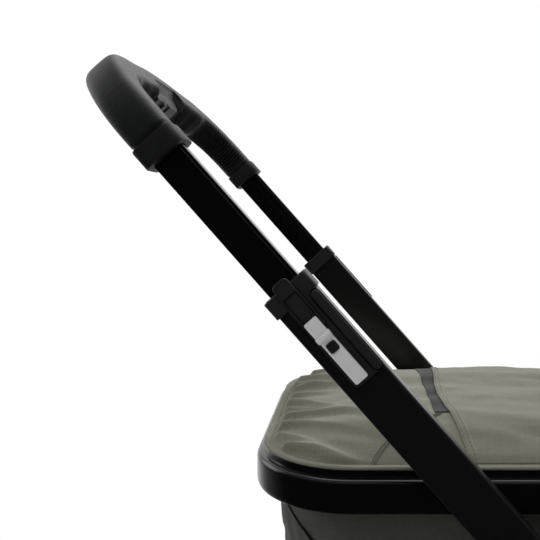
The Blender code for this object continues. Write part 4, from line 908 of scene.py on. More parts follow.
class PRAM_OT_latches(bpy.types.Operator):
    """Collars with their tongues and strips, flip levers, silver plates and buttons"""

    bl_idname = "pram.latches"
    bl_label = "Latches"

    tongue_back: length("Tongue's back edge", "Behind the tube's centreline", 0.0120)
    tongue_front: length("Tongue's front edge", "Ahead of the tube's centreline", 0.0235)
    face: length("Tongue thickness", "On the tube's outer face", 0.0040)
    strip: length("Strip width", "Raised strip along the tongue's front edge", 0.0094)
    ridge: length("Ridge width", "Thin ridge beside the plates", 0.0019)
    # Painted shadow: a thin dark gloss band, standing just proud round the strip and the lever's panel,
    # stands in for the shade in the gap there.
    shadow_line: length("Seal width", "Dark seal round the strip and the lever's panel", 0.0010)
    press: length("Button's press", "Left between the tongue and the button's foot", 0.0018)

    strip_rise = 0.0030
    ridge_rise = 0.0014
    # Height of the painted shadow band over the face.
    shadow_line_rise = 0.0006
    sunk = 0.0010  # feet of the raised details, under the face that they stand on

    def execute(self, context):
        for side, sign in SIDES:
            self.collar(side, sign)
            self.lever(side, sign)
            self.plates(side, sign)
        return {"FINISHED"}

    def collar(self, side, sign):
        name = f"latch_collar_{side}"
        tube_low, tube_high = tube_box(f"outer_tube_{side}")
        low, high = tube_box(name)
        ring_low = tube_high.z + CLEAR
        across = (tube_low.y, tube_high.y)
        tube_face = max(across, key=abs)
        face = tube_face + sign * self.face
        inner = min((low.y, high.y), key=abs)
        sides = sorted((inner, face))
        outline = rounded((low.x, sides[0]), (high.x, sides[1]), 0.0042, 6)
        ring = block(outline, "z", ring_low, high.z, 0.0009)
        self.hollow(ring, Vector((0.0, 0.0, 1.0)), wall=0.0032, depth=0.0060)
        middle = (ring_low + high.z) / 2
        outline = rounded((-self.tongue_back, low.z), (self.tongue_front, middle), 0.005, 8)
        tongue = block(outline, "y", tube_face + sign * CLEAR, face - sign * CLEAR, 0.0008, 3, 50.0)
        radius = self.strip / 2
        strip_n = self.tongue_front - radius
        edge = 0.0008  # of the tongue, left free under the strip
        ends = ((strip_n, low.z + radius + edge), (strip_n, ring_low - radius - CLEAR))
        outline = stadium(*ends, radius, 16)
        strip = block(outline, "y", face - sign * 0.002, face + sign * self.strip_rise, 0.0018, 4, 50.0)
        # Painted shadow: a dark band round the strip stands in for the shade in the gap beside it.
        edges = [stadium(*ends, reach, 16) for reach in (radius + self.shadow_line, radius - CLEAR)]
        shadow_line = pipe(*edges, "y", face - sign * self.sunk, face + sign * self.shadow_line_rise)
        settle(f"latch_shadow_line_{side}", in_tube_space(shadow_line), "gloss", "upper_frame", "matte_black", (), 30.0)
        ridge_n, from_low, from_high = 0.0098, 0.0031, 0.0056
        ridge_ends = ((ridge_n, low.z + from_low), (ridge_n + self.ridge, high.z - from_high))
        outline = rounded(*ridge_ends, self.ridge * 0.45, 4)
        ridge = block(outline, "y", face - sign * self.sunk, face + sign * self.ridge_rise, 0.0005, 2, 50.0)
        mesh = in_tube_space(joined(ring, tongue, strip, ridge))
        # The latch finish is the matte black lightened, which is painted light.
        settle(f"{name}_moulding", mesh, "latch", "upper_frame", "matte_black", (name,))

    def hollow(self, mesh, facing, wall, depth):
        """Sinks the face that looks one way, inside a wall left standing."""
        faces = [face for face in mesh.faces if face.normal.dot(facing) > 0.95 and face.calc_area() > 1e-5]
        sink(mesh, faces, wall, facing * -depth)

    def lever(self, side, sign):
        """Pad with a raised rim, and the panel above its silver plate, outlined by a dark band of painted
        shadow.
        """
        name = f"latch_lever_{side}"
        low, high = tube_box(name)
        inner, outer = sorted((low.y, high.y), key=abs)
        pad = block(rounded((low.x, low.z), (high.x, high.z), 0.0052, 10), "y", inner, outer, 0.0010)
        outward, wall, depth = Vector((0.0, sign, 0.0)), 0.0009, 0.0008
        self.hollow(pad, outward, wall, depth)
        _, plate_high = tube_box(f"lever_plate_{side}")
        gap, panel_length = 0.0005, 0.0280  # from the silver plate, and along the lever
        behind, ahead = 0.0019, 0.0020  # of the pad, left free beside the panel
        panel_low = (low.x + behind, plate_high.z + gap)
        panel_high = (high.x - ahead, plate_high.z + gap + panel_length)
        corner = 0.0013
        outline = rounded(panel_low, panel_high, corner, 5)
        panel = block(outline, "y", outer - sign * 0.0012, outer + sign * 0.0001, 0.0004, 2)
        self.hollow(panel, outward, wall, depth)
        mesh = in_tube_space(joined(pad, panel))
        settle(f"{name}_pad", mesh, "latch", name, "matte_black", (name,), 30.0)
        # Painted shadow: a dark band round the panel stands in for the shade in the gap beside it.
        low_edge = (panel_low[0] - self.shadow_line, panel_low[1] - self.shadow_line)
        high_edge = (panel_high[0] + self.shadow_line, panel_high[1] + self.shadow_line)
        edge = rounded(low_edge, high_edge, corner + self.shadow_line, 5)
        shadow_line = pipe(edge, outline, "y", outer - sign * self.sunk, outer + sign * 0.0002)
        settle(f"{name}_seal", in_tube_space(shadow_line), "gloss", name, "matte_black", (), 30.0)

    def plates(self, side, sign):
        lever = f"latch_lever_{side}"
        for node, body in ((f"latch_plate_{side}", "upper_frame"), (f"lever_plate_{side}", lever)):
            recast(node, 0.00022, "silver", body, "silver_plate", "metal", 2)
        hinge = TUBE_SPACE.inverted() @ Vector(JOINTS[f"latch_lever_{side}_flip"]["pos_m"])
        radius, reach, proud = 0.0036, 0.0081, 0.0014
        profile = band(0.0, radius, -reach, reach, 0.0005)
        barrel = turned(profile, hinge + Vector((0.0, sign * proud, 0.0)), "x", 40, closed=False)
        barrel = in_tube_space(barrel)
        settle(f"latch_hinge_{side}", barrel, "silver", "upper_frame", "silver_plate", (), 30.0)
        node = f"latch_button_{side}"
        low, high = tube_box(node)
        tube_face = max((face.y for face in tube_box(f"outer_tube_{side}")), key=abs)
        foot = tube_face + sign * (self.face + self.press)
        top = max((low.y, high.y), key=abs)
        mesh = block(rounded((low.x, low.z), (high.x, high.z), 0.0030, 8), "y", foot, top, 0.0008)
        settle(f"{node}_cap", in_tube_space(mesh), "soft_touch", node, "matte_black", (node,))


class GripPath(Line):
    """Centreline of the grip's U in the tubes' frame, by its length from the right end."""

    def __init__(self):
        low, high = tube_box("grip_wrap")
        tube = tube_box("inner_tube_right")
        self.leg = abs(tube[0].y + tube[1].y) / 2
        self.low = low.z
        self.section = (2 * high.x, 2 * (high.y - self.leg))
        self.high = high.z - self.section[1] / 2
        self.lean = low.x + high.x
        chosen = sizes()
        half = self.leg - chosen.corner_across
        bar_line = self.high - chosen.crossbar_bow
        bend = [(-self.leg, self.low)]
        steps = 24
        for i in range(steps + 1):
            turn = pi / 2 * i / steps
            across = chosen.corner_across * cos(turn) ** chosen.corner_power if i < steps else 0.0
            along = chosen.corner_along * sin(turn) ** chosen.corner_power
            bend.append((-half - across, bar_line - chosen.corner_along + along))
        middle = 16
        points = list(bend)
        for i in range(1, middle):
            y = -half + 2 * half * i / middle
            points.append((y, bar_line + chosen.crossbar_bow * (1 - (y / half) ** 2)))
        points += [(-y, s) for y, s in reversed(bend)]
        super().__init__(points)

    def at(self, share):
        """Point (n, y, s) and the direction out of the U, at a share of the length."""
        point, along = self.walk(share * self.length)
        rise = (point.y - self.low) / (self.high - self.low)
        return Vector((self.lean * rise, point.x, point.y)), Vector((-along.y, along.x))


class PRAM_OT_grip(bpy.types.Operator):
    """Padded leatherette grip with its gathers, and the two collars that end it"""

    bl_idname = "pram.grip"
    bl_label = "Grip"

    leg_gathers = (0.118, 0.150)  # from the grip's ends, where the gathers fade out
    bar_ribs = (0.128, 0.160)  # from the crossbar's middle, where the ribs fade out
    chevron_rise = 0.0021
    rib_rise = 0.0008

    def execute(self, context):
        path = GripPath()
        housing_low, housing_high = tube_box("fold_housing")
        self.notch_ends = (housing_low.y - sizes().near_end - CLEAR, housing_high.y + CLEAR)
        self.notch_half = housing_high.y
        self.notch_low = housing_high.z + CLEAR
        mesh = surface(lambda u, v: self.skin(path, u, v), 64, 1200, reach=(0.16, path.length))
        mesh = in_tube_space(close_ends(mesh))
        settle("grip_wrap_cover", mesh, "leather", "handle", "leatherette", ("grip_wrap",), 70.0)
        self.stitches(path)
        for side, _ in SIDES:
            recast(f"grip_collar_{side}", 0.0009, "grey", "handle", "collar_grey", least=50.0)
        return {"FINISHED"}

    def notch(self, n, y):
        """Height of the padding over the fold unit: higher at the front, and sloped off past its ends."""
        past = max(self.notch_ends[0] - y, y - self.notch_ends[1], 0.0)
        return self.notch_low + 0.0104 * smooth_step(n, 0.008, 0.022) - 1.3 * past

    def gathers(self, path, at, across, inward, y):
        """Sewn gathers: chevrons inside the legs, fine ribs under the crossbar."""
        from_end = min(at, path.length - at)
        inner = smooth_step(inward, 0.10, 0.80)
        chosen = sizes()
        wander = 0.5 * ripple(at, across, 0.0, 40.0)
        chevron = sin(2 * pi * (at / chosen.gather_pitch + 0.5 * abs(across)) + wander)
        legs = smooth_step(from_end, 0.004, 0.014) * (1 - smooth_step(from_end, *self.leg_gathers))
        rib = sin(2 * pi * at / chosen.rib_pitch + wander)
        bar_part = smooth_step(abs(y), self.notch_half, self.notch_half + 0.004)
        bar_part *= 1 - smooth_step(abs(y), *self.bar_ribs)
        return inner * (self.chevron_rise * legs * (chevron - 0.4) + self.rib_rise * bar_part * rib)

    def skin(self, path, u, v):
        width, depth = path.section
        drawn_in, swollen, sunk = 0.0020, 0.0006, 0.0007  # at the ends, over the skin, and at its seam
        centre, out = path.at(v)
        turn = 2 * pi * u
        a, b = cos(turn), sin(turn)
        share = 2.0 / sizes().section_power
        square_a = signed_power(a, share)
        square_b = signed_power(b, share)
        at = v * path.length
        from_end = min(at, path.length - at)
        end = drawn_in * (1 - smooth_step(from_end, 0.0, 0.005))
        swell = swollen * ripple(at, a * 0.03, b * 0.03, 20.0)
        seam = sunk * hump(b + 0.10, 0.05) * smooth_step(abs(a), 0.6, 1.0)
        gather = self.gathers(path, at, square_a, -b, centre.y)
        n = square_a * (width / 2 - end + swell - seam)
        r = square_b * (depth / 2 - end + swell + gather)
        s = centre.z + out.y * r
        y = centre.y + out.x * r
        if out.y > 0.9:
            s = max(s, self.notch(n, y))
        return Vector((centre.x + n, y, s))

    def stitches(self, path):
        """Row of stitches along the inner side of the U's bends."""
        depth = path.section[1]
        stitch = sizes().stitch
        pitch = stitch * 1.6
        end_margin, housing_half = 0.012, 0.052  # where no stitches are
        pieces = []
        count = int(path.length / pitch)
        for number in range(count):
            share = (number + 0.5) / count
            centre, out = path.at(share)
            from_end = min(share, 1 - share) * path.length
            if from_end < end_margin or abs(centre.y) < housing_half:
                continue
            ahead, _ = path.at(min(share + 0.002, 1.0))
            heading = (ahead - centre).normalized()
            top = centre + Vector((0.0, out.x, out.y)) * (-depth / 2 - 0.0002)
            start = top - heading * (stitch / 2)
            end = top + heading * (stitch / 2)
            pieces.append(bar([start, top, end], 0.00035, 6, flat=Vector((1.0, 0.0, 0.0))))
        mesh = joined(*pieces)
        settle("grip_stitches", in_tube_space(mesh), "soft_touch", "handle", "leatherette")


class PRAM_OT_fold_unit(bpy.types.Operator):
    """Fold housing under the crossbar, with its trigger and lock button"""

    bl_idname = "pram.fold_unit"
    bl_label = "Fold unit"

    def execute(self, context):
        low, high = tube_box("fold_housing")
        foot = 0.0078
        section = [
            (-foot, low.z),
            (foot, low.z),
            (0.0113, high.z),
            (0.0113, high.z + 0.0020),
            (0.0140, high.z + 0.0052),
            (0.0152, high.z + 0.0067),
            (0.0175, high.z + 0.0084),
            (0.0165, high.z + 0.0100),
            (-0.0130, high.z + 0.0040),
            (-0.0113, high.z),
        ]
        # The housing finish is the grey black lightened, which is painted light.
        housing = block(section, "y", low.y, high.y, 0.0007, 3, 20.0)
        cap = block(section, "y", low.y - sizes().near_end, low.y - CLEAR, 0.0007, 3, 20.0)
        settle("fold_housing_end", in_tube_space(cap), "housing", "handle", "collar_grey", (), 30.0)
        key_low, key_high = tube_box("fold_lock_button")
        border, rise, sunk = 0.0011, 0.0006, 0.0010
        ends = ((key_low.x - border, key_low.y - border), (key_high.x + border, key_high.y + border))
        frame_of_key = block(rounded(*ends, 0.0020, 4), "z", low.z - rise, low.z + sunk, 0.0004, 2)
        mesh = in_tube_space(joined(housing, frame_of_key))
        settle("fold_housing_moulding", mesh, "housing", "handle", "collar_grey", ("fold_housing",), 30.0)
        for node, name in (("fold_trigger", "fold_trigger_key"), ("fold_lock_button", "fold_lock_key")):
            settle(name, casting(node, 0.0006, 2, 60.0), "matte", node, "matte_black", (node,))
        return {"FINISHED"}


# Chassis and wheels


class PRAM_OT_chassis(bpy.types.Operator):
    """Hubs, legs, crossbar and swivel forks"""

    bl_idname = "pram.chassis"
    bl_label = "Chassis"

    def execute(self, context):
        for side, sign in SIDES:
            recast(f"hub_{side}", 0.0012, "matte", "front_frame", "matte_black", "casting")
            self.hub_cap(side, sign)
            self.front_leg(side)
            self.rear_leg(side, sign)
            recast(f"swivel_housing_{side}", 0.0016, "matte", "front_frame", "matte_black")
            recast(f"front_fork_{side}", 0.0014, "matte", f"front_fork_{side}", "matte_black")
        self.round_bar("front_crossbar", "front_frame", 0.0015)
        self.round_bar("rear_axle", "rear_frame", 0.0008)
        return {"FINISHED"}

    def hub_cap(self, side, sign):
        node = f"hub_cap_{side}"
        low, high = box_of(node)
        radius = (high.x - low.x) / 2
        thick = (high.y - low.y) * sign
        profile = [
            (0.0, 0.0),
            (radius, 0.0),
            (radius, 0.60 * thick),
            (0.96 * radius, 0.86 * thick),
            (0.88 * radius, thick),
            (0.66 * radius, thick),
            (0.63 * radius, 0.70 * thick),
            (0.20 * radius, 0.64 * thick),
            (0.0, 0.62 * thick),
        ]
        inner = low.y if sign > 0 else high.y
        centre = Vector(((low.x + high.x) / 2, inner, (low.z + high.z) / 2))
        mesh = turned(profile, centre, "y", 64, closed=False)
        settle(f"{node}_disc", mesh, "matte", "front_frame", "matte_black", (node,), 28.0)

    def front_leg(self, side):
        node = f"front_leg_{side}"
        low, high = tube_box(node)
        mesh = in_tube_space(slab(rounded((low.x, low.y), (high.x, high.y), 0.005, 6), "z", low.z, high.z))
        settle(f"{node}_tube", mesh, "gloss", "front_frame", "gloss_tube", (node,))

    def rear_leg(self, side, sign):
        name = f"rear_leg_{side}"
        low, high = box_of(name)
        wheel_low, wheel_high = box_of(f"rear_tyre_{side}")
        axle = ((wheel_low.x + wheel_high.x) / 2, (wheel_low.z + wheel_high.z) / 2)
        hub = (HUB.x, HUB.z)
        radius = high.z - hub[1]
        depth = 0.0193
        slimmer = 0.002  # brake housing's radius under the leg's; its foot stands as deep in the leg
        inner = low.y if sign > 0 else high.y
        leg = block(stadium(axle, hub, radius, 24), "y", inner, inner + sign * depth, 0.0035, 4)
        pin_low, pin_high = box_of(f"brake_pin_{side}")
        pin = ((pin_low.x + pin_high.x) / 2, (pin_low.z + pin_high.z) / 2)
        outer = high.y if sign > 0 else low.y
        foot = inner + sign * (depth - slimmer)
        housing = block(stadium(axle, pin, radius - slimmer, 24), "y", foot, outer, 0.0012)
        mesh = joined(leg, housing)
        settle(f"{name}_tube", mesh, "gloss", "rear_frame", "gloss_tube", (name,))

    def round_bar(self, node, body, edge):
        """Turned copy of a frame solid whose axis runs across the pram."""
        low, high = box_of(node)
        centre = Vector(((low.x + high.x) / 2, 0.0, (low.z + high.z) / 2))
        widest = {}
        for vert in NODES[node].data.vertices:
            along = round(vert.co.y, 5)
            reach = hypot(vert.co.x - centre.x, vert.co.z - centre.z)
            widest.setdefault(along, []).append(reach)
        profile = []
        for along in sorted(widest):
            reaches = sorted({round(reach, 4) for reach in widest[along]})
            if profile and reaches[-1] < profile[-1][0]:
                reaches.reverse()
            for reach in reaches:
                profile.append((reach, along))
        profile = [(0.0, profile[0][1])] + profile + [(0.0, profile[-1][1])]
        mesh = soften(turned(profile, centre, "y", 48, closed=False), edge, 2, 50.0)
        settle(f"{node}_bar", mesh, "gloss", body, "gloss_tube", (node,), 30.0)


class PRAM_OT_wheels(bpy.types.Operator):
    """Four wheels: treaded tyres on spoked rims"""

    bl_idname = "pram.wheels"
    bl_label = "Wheels"

    spokes_rear: count_of("Rear spokes", "Spokes of a rear wheel", 6)
    spokes_front: count_of("Front spokes", "Spokes of a front wheel", 5)

    def execute(self, context):
        for side, sign in SIDES:
            self.tyre("rear", side, 54)
            self.tyre("front", side, 40)
            self.rim("rear", side, sign, self.spokes_rear, hub=0.022, foot=0.060, width=0.020)
            self.rim("front", side, sign, self.spokes_front, hub=0.018, foot=0.028, width=0.014)
        return {"FINISHED"}

    def tyre(self, end, side, blocks):
        node = f"{end}_tyre_{side}"
        low, high = box_of(node)
        centre = (low + high) / 2
        radius = (high.z - low.z) / 2
        half = (high.y - low.y) / 2
        rim_low, rim_high = box_of(f"{end}_rim_{side}")
        inner = (rim_high.z - rim_low.z) / 2 + CLEAR
        tread = sizes().tread
        wall = radius - inner
        around = blocks * 6

        def section(v):
            """Radius and distance across, going once round the tyre's section."""
            turn = 2 * pi * v
            a, b = cos(turn), sin(turn)
            across = half * signed_power(b, 0.80)
            if a >= 0:
                return inner + wall * (0.46 + 0.54 * a**0.62), across, a
            return inner + wall * 0.46 * (1 - abs(a) ** 0.5), across, a

        def shape(u, v):
            reach, across, a = section(v)
            turn = 2 * pi * u
            share = abs(across) / half
            grip = smooth_step(a, 0.45, 0.75)
            lines = 0.5 + 0.5 * cos(2 * pi * (blocks * u + 0.55 * share))
            cut = smooth_step(lines, 0.72, 0.92) * smooth_step(share, 0.16, 0.26)
            ring = hump(share - 0.20, 0.045)
            reach -= tread * grip * max(cut, ring)
            side_line = hump(reach - inner - 0.52 * wall, 0.0012) * (1 - grip)
            across *= 1 + 0.014 * side_line
            return centre + Vector((reach * cos(turn), across, reach * sin(turn)))

        mesh = surface(shape, around, 64, reach=(2 * pi * radius, 4 * half))
        settle(f"{node}_rubber", mesh, "rubber", f"{end}_wheel_{side}", "tyre_rubber", (node,), 50.0)

    def rim(self, end, side, sign, spokes, hub, foot, width):
        """Rim with its hub; foot is where the spokes start, and width is theirs."""
        node = f"{end}_rim_{side}"
        low, high = box_of(node)
        tyre_low, tyre_high = box_of(f"{end}_tyre_{side}")
        centre = Vector(((low.x + high.x) / 2, (tyre_low.y + tyre_high.y) / 2, (low.z + high.z) / 2))
        radius = (high.z - low.z) / 2
        half = 0.8 * (tyre_high.y - tyre_low.y) / 2
        hub_low, hub_high = low.y - centre.y, high.y - centre.y
        lip = 0.008
        ring = 0.014  # depth of the web inside the rim
        if end == "rear":
            web_low, web_high = self.rear_web(side, sign, centre)
            bore = 0.0083
        else:
            web_low, web_high = -0.006, 0.006
            bore = 0.0063
        edge = 0.0012
        base = radius - lip
        channel = band(base + 0.001, radius, -half, half, edge)
        channel += [(base, 0.8 * half), (base, -0.8 * half)]
        rim_web = [
            (base + 0.002, web_low),
            (base + 0.002, web_high),
            (radius - ring + edge, web_high),
            (radius - ring, web_high - edge),
            (radius - ring, web_low + edge),
            (radius - ring + edge, web_low),
        ]
        barrel = band(bore, hub, hub_low, hub_high, edge)
        barrel.insert(3, (hub, web_low))
        plate = band(hub - 0.001, foot, web_low, web_high, edge)
        pieces = [turned(profile, centre, "y", 96) for profile in (channel, rim_web)]
        pieces += [turned(profile, centre, "y", 64) for profile in (barrel, plate)]
        flat = rounded((foot - 0.006, -width / 2), (radius - ring + 0.004, width / 2), 0.002, 3)
        inlay = stadium((foot + 0.004, 0.0), (radius - ring - 0.006, 0.0), width * 0.22, 8)
        proud = 0.0008
        for number in range(spokes):
            turn = pi / 2 + 2 * pi * number / spokes
            spoke = block(flat, "y", web_low, web_high, 0.0014)
            blade = joined(spoke, block(inlay, "y", web_low - proud, web_high + proud, 0.0006, 2))
            bmesh.ops.rotate(blade, verts=blade.verts, cent=(0, 0, 0), matrix=Matrix.Rotation(turn, 3, "Y"))
            bmesh.ops.translate(blade, verts=blade.verts, vec=centre)
            pieces.append(blade)
        if end == "rear":
            pieces.append(self.brake_teeth(side, sign, centre))
        mesh = joined(*pieces)
        settle(f"{node}_moulding", mesh, "matte", f"{end}_wheel_{side}", "matte_black", (node,), 30.0)

    def rear_web(self, side, sign, centre):
        low, high = box_of(f"rear_leg_{side}")
        pin_proud, pin_travel, spare, thick = 0.001, 0.008, 0.001, 0.010
        face = (high.y if sign > 0 else -low.y) + pin_proud + pin_travel + spare
        inner = face - abs(centre.y)
        return (inner, inner + thick) if sign > 0 else (-inner - thick, -inner)

    def brake_teeth(self, side, sign, centre):
        """Toothed ring that the brake pin goes into."""
        web = self.rear_web(side, sign, centre)
        face = web[0] if sign > 0 else web[1]
        low, high = box_of(f"brake_pin_{side}")
        pin = (low + high) / 2 - centre
        reach = hypot(pin.x, pin.z)
        first = atan2(pin.z, pin.x)
        root = reach - (high.z - low.z) / 2 - 0.001
        tip = reach + 0.006
        bore = 0.034
        count = 8
        outer, inner = [], []
        for tooth in range(count):
            for share, radius in ((-0.20, root), (0.20, root), (0.20, tip), (0.80, tip)):
                turn = first + 2 * pi * (tooth + share) / count
                outer.append((radius * cos(turn), radius * sin(turn)))
                inner.append((bore * cos(turn), bore * sin(turn)))
        depth, sunk = 0.008, 0.001
        ends = sorted((face - sign * depth, face + sign * sunk))
        mesh = pipe(outer, inner, "y", *ends)
        bmesh.ops.translate(mesh, verts=mesh.verts, vec=centre)
        return mesh


class PRAM_OT_brake(bpy.types.Operator):
    """Brake pedal with its ribs, and the two brake pins"""

    bl_idname = "pram.brake"
    bl_label = "Brake"

    def execute(self, context):
        recast("brake_pedal", 0.0010, "matte", "brake_pedal", "matte_black", segments=2, least=40.0)
        low, high = box_of("brake_pedal")
        ribs = []
        margin, end = 0.012, 0.010  # left free along the pedal's edge and at its ends
        pitch, width, rise = 0.008, 0.0032, 0.0018
        for number in range(5):
            x = low.x + margin + pitch * number
            flat = rounded((x, low.y + end), (x + width, high.y - end), 0.0014, 4)
            ribs.append(block(flat, "z", 0.0, rise, 0.0006, 2))
        mesh = joined(*ribs)
        axle_low, axle_high = box_of("rear_axle")
        over_axle = 0.0056
        height = (axle_low.z + axle_high.z) / 2 + over_axle
        bmesh.ops.translate(mesh, verts=mesh.verts, vec=(0.0, 0.0, height))
        settle("brake_pedal_ribs", mesh, "soft_touch", "brake_pedal", "matte_black")
        for side, _ in SIDES:
            node = f"brake_pin_{side}"
            pin_low, pin_high = box_of(node)
            middle = (pin_low + pin_high) / 2
            radius = (pin_high.z - pin_low.z) / 2
            profile = band(0.0, radius, pin_low.y - middle.y, pin_high.y - middle.y, 0.0006)
            made = turned(profile, middle, "y", 32, closed=False)
            settle(f"{node}_rod", made, "silver", node, "silver_plate", (node,), 30.0)
        return {"FINISHED"}


class PRAM_OT_basket(bpy.types.Operator):
    """Basket of dark cloth hung from its rail, and the rail with its hangers"""

    bl_idname = "pram.basket"
    bl_label = "Basket"

    def execute(self, context):
        _, high = box_of("basket_frame")
        cloth_low, cloth_high = box_of("basket")
        radius = 0.005
        corner = 0.050
        rail_height = cloth_high.z + CLEAR + radius
        half = cloth_high.y
        plan = Plan(cloth_low.x, cloth_high.x, half, corner, corner)
        count = 120
        path = [at_height(plan.point(number / count)[0], rail_height) for number in range(count)]
        rail = bar(path, radius, 20, closed=True)
        pieces = [rail]
        near, far = reach_across("basket_frame", lambda point: point.z > HUB.z)
        outline = stadium((HUB.x, rail_height), (HUB.x, HUB.z), high.z - HUB.z, 16)
        for _, sign in SIDES:
            pieces.append(block(outline, "y", sign * near, sign * far, 0.0008, 2))
        mesh = joined(*pieces)
        settle("basket_rail", mesh, "gloss", "front_frame", "gloss_tube", ("basket_frame",), 40.0)
        self.cloth(plan, cloth_low, cloth_high)
        return {"FINISHED"}

    def cloth(self, plan, low, high):
        base = 0.34  # share of the sheet that lies on the bottom
        floor = low.z + 0.0015
        rise = high.z - low.z - 0.002
        taper, foot, under_rail = 0.030, 0.032, 0.002  # drawn in down the wall, at its foot, at its top
        centre = Vector(((low.x + high.x) / 2, 0.0))

        def shape(u, v):
            where, out = plan.point(u)
            s = u * plan.length
            if v > base:
                up = (v - base) / (1 - base)
                draw = taper * (1 - up) ** 1.1 * (1.0 + 0.35 * max(out.x, 0.0))
                fold = 0.0022 * ripple(s, up * 0.4, 3.0, 9.0) + 0.0010 * ripple(s, up, 5.0, 31.0)
                hem = 0.0013 * (smooth_step(up, 0.90, 0.912) - smooth_step(up, 0.988, 1.0))
                at = where - out * (draw - fold * (1 - up) - hem + under_rail)
                return at_height(at, floor + rise * up)
            at = centre.lerp(where - out * foot, max(v / base, 0.002))
            sag = 0.0012 * ripple(at.x, at.y, 7.0, 7.0)
            return at_height(at, floor + abs(sag))

        mesh = surface(shape, 200, 60, reach=(plan.length, 0.30))
        cloth_map(mesh)
        placing = ("dark", "front_frame", "olive_fabric", ("basket",))
        made = settle("basket_cloth", mesh, *placing, 60.0, thickness=0.0018)


# Carrycot


class PRAM_OT_cot(bpy.types.Operator):
    """Carrycot's rim, brackets and buttons"""

    bl_idname = "pram.cot"
    bl_label = "Carrycot rim"

    def execute(self, context):
        self.rim()
        for side, _ in SIDES:
            recast(f"cot_bracket_{side}", 0.0012, "matte", "carrycot", "matte_black")
            button = f"release_button_{side}"
            recast(button, 0.0008, "grey", button, "collar_grey", "cap", 2, 50.0)
        return {"FINISHED"}

    def rim(self):
        cot = cot_plan()
        top = box_of("apron")[0].z - CLEAR
        lip = top + sizes().lip
        low = box_of("cot_rim")[0].z
        width = 0.0265
        loop = [
            (0.0060, low),
            (0.0034, low + 0.0004),
            (0.0012, low + 0.0020),
            (0.0003, low + 0.0045),
            (0.0, low + 0.0075),
            (0.0, top - 0.0095),
            (0.0002, top - 0.0070),
            (0.0009, top - 0.0050),
            (0.0022, top - 0.0034),
            (0.0038, top - 0.0026),
            (0.0052, top - 0.0024),
            (0.0080, top - 0.0018),
            (0.0086, top - 0.0004),
            (0.0090, lip - 0.0006),
            (0.0096, lip),
            (width - 0.0030, lip),
            (width - 0.0009, lip - 0.0009),
            (width, lip - 0.0030),
            (width, low + 0.0020),
            (width - 0.0020, low),
        ]
        count = len(loop)

        def shape(u, v):
            inset, height = loop[round(v * count) % count]
            where, out = cot.point(u)
            at = where - out * inset
            return at_height(at, height)

        ring = surface(shape, 320, count, reach=(cot.length, 0.11))
        pieces = [ring]
        pivot = CANOPY_PIVOT
        radius = 0.008
        near, far = reach_across("cot_rim", lambda point: point.z > pivot.z + 0.001)
        outline = stadium((pivot.x, top - radius / 2), (pivot.x, pivot.z), radius, 16)
        for _, sign in SIDES:
            pieces.append(block(outline, "y", sign * near, sign * far, 0.0010))
        settle("cot_rim_moulding", joined(*pieces), "rim", "carrycot", "gloss_rim", ("cot_rim",), 28.0)


def cot_plan():
    """Outline of the carrycot's rim."""
    low, high = box_of("cot_rim")
    corner = 0.110
    return Plan(low.x, high.x, high.y, corner, corner)


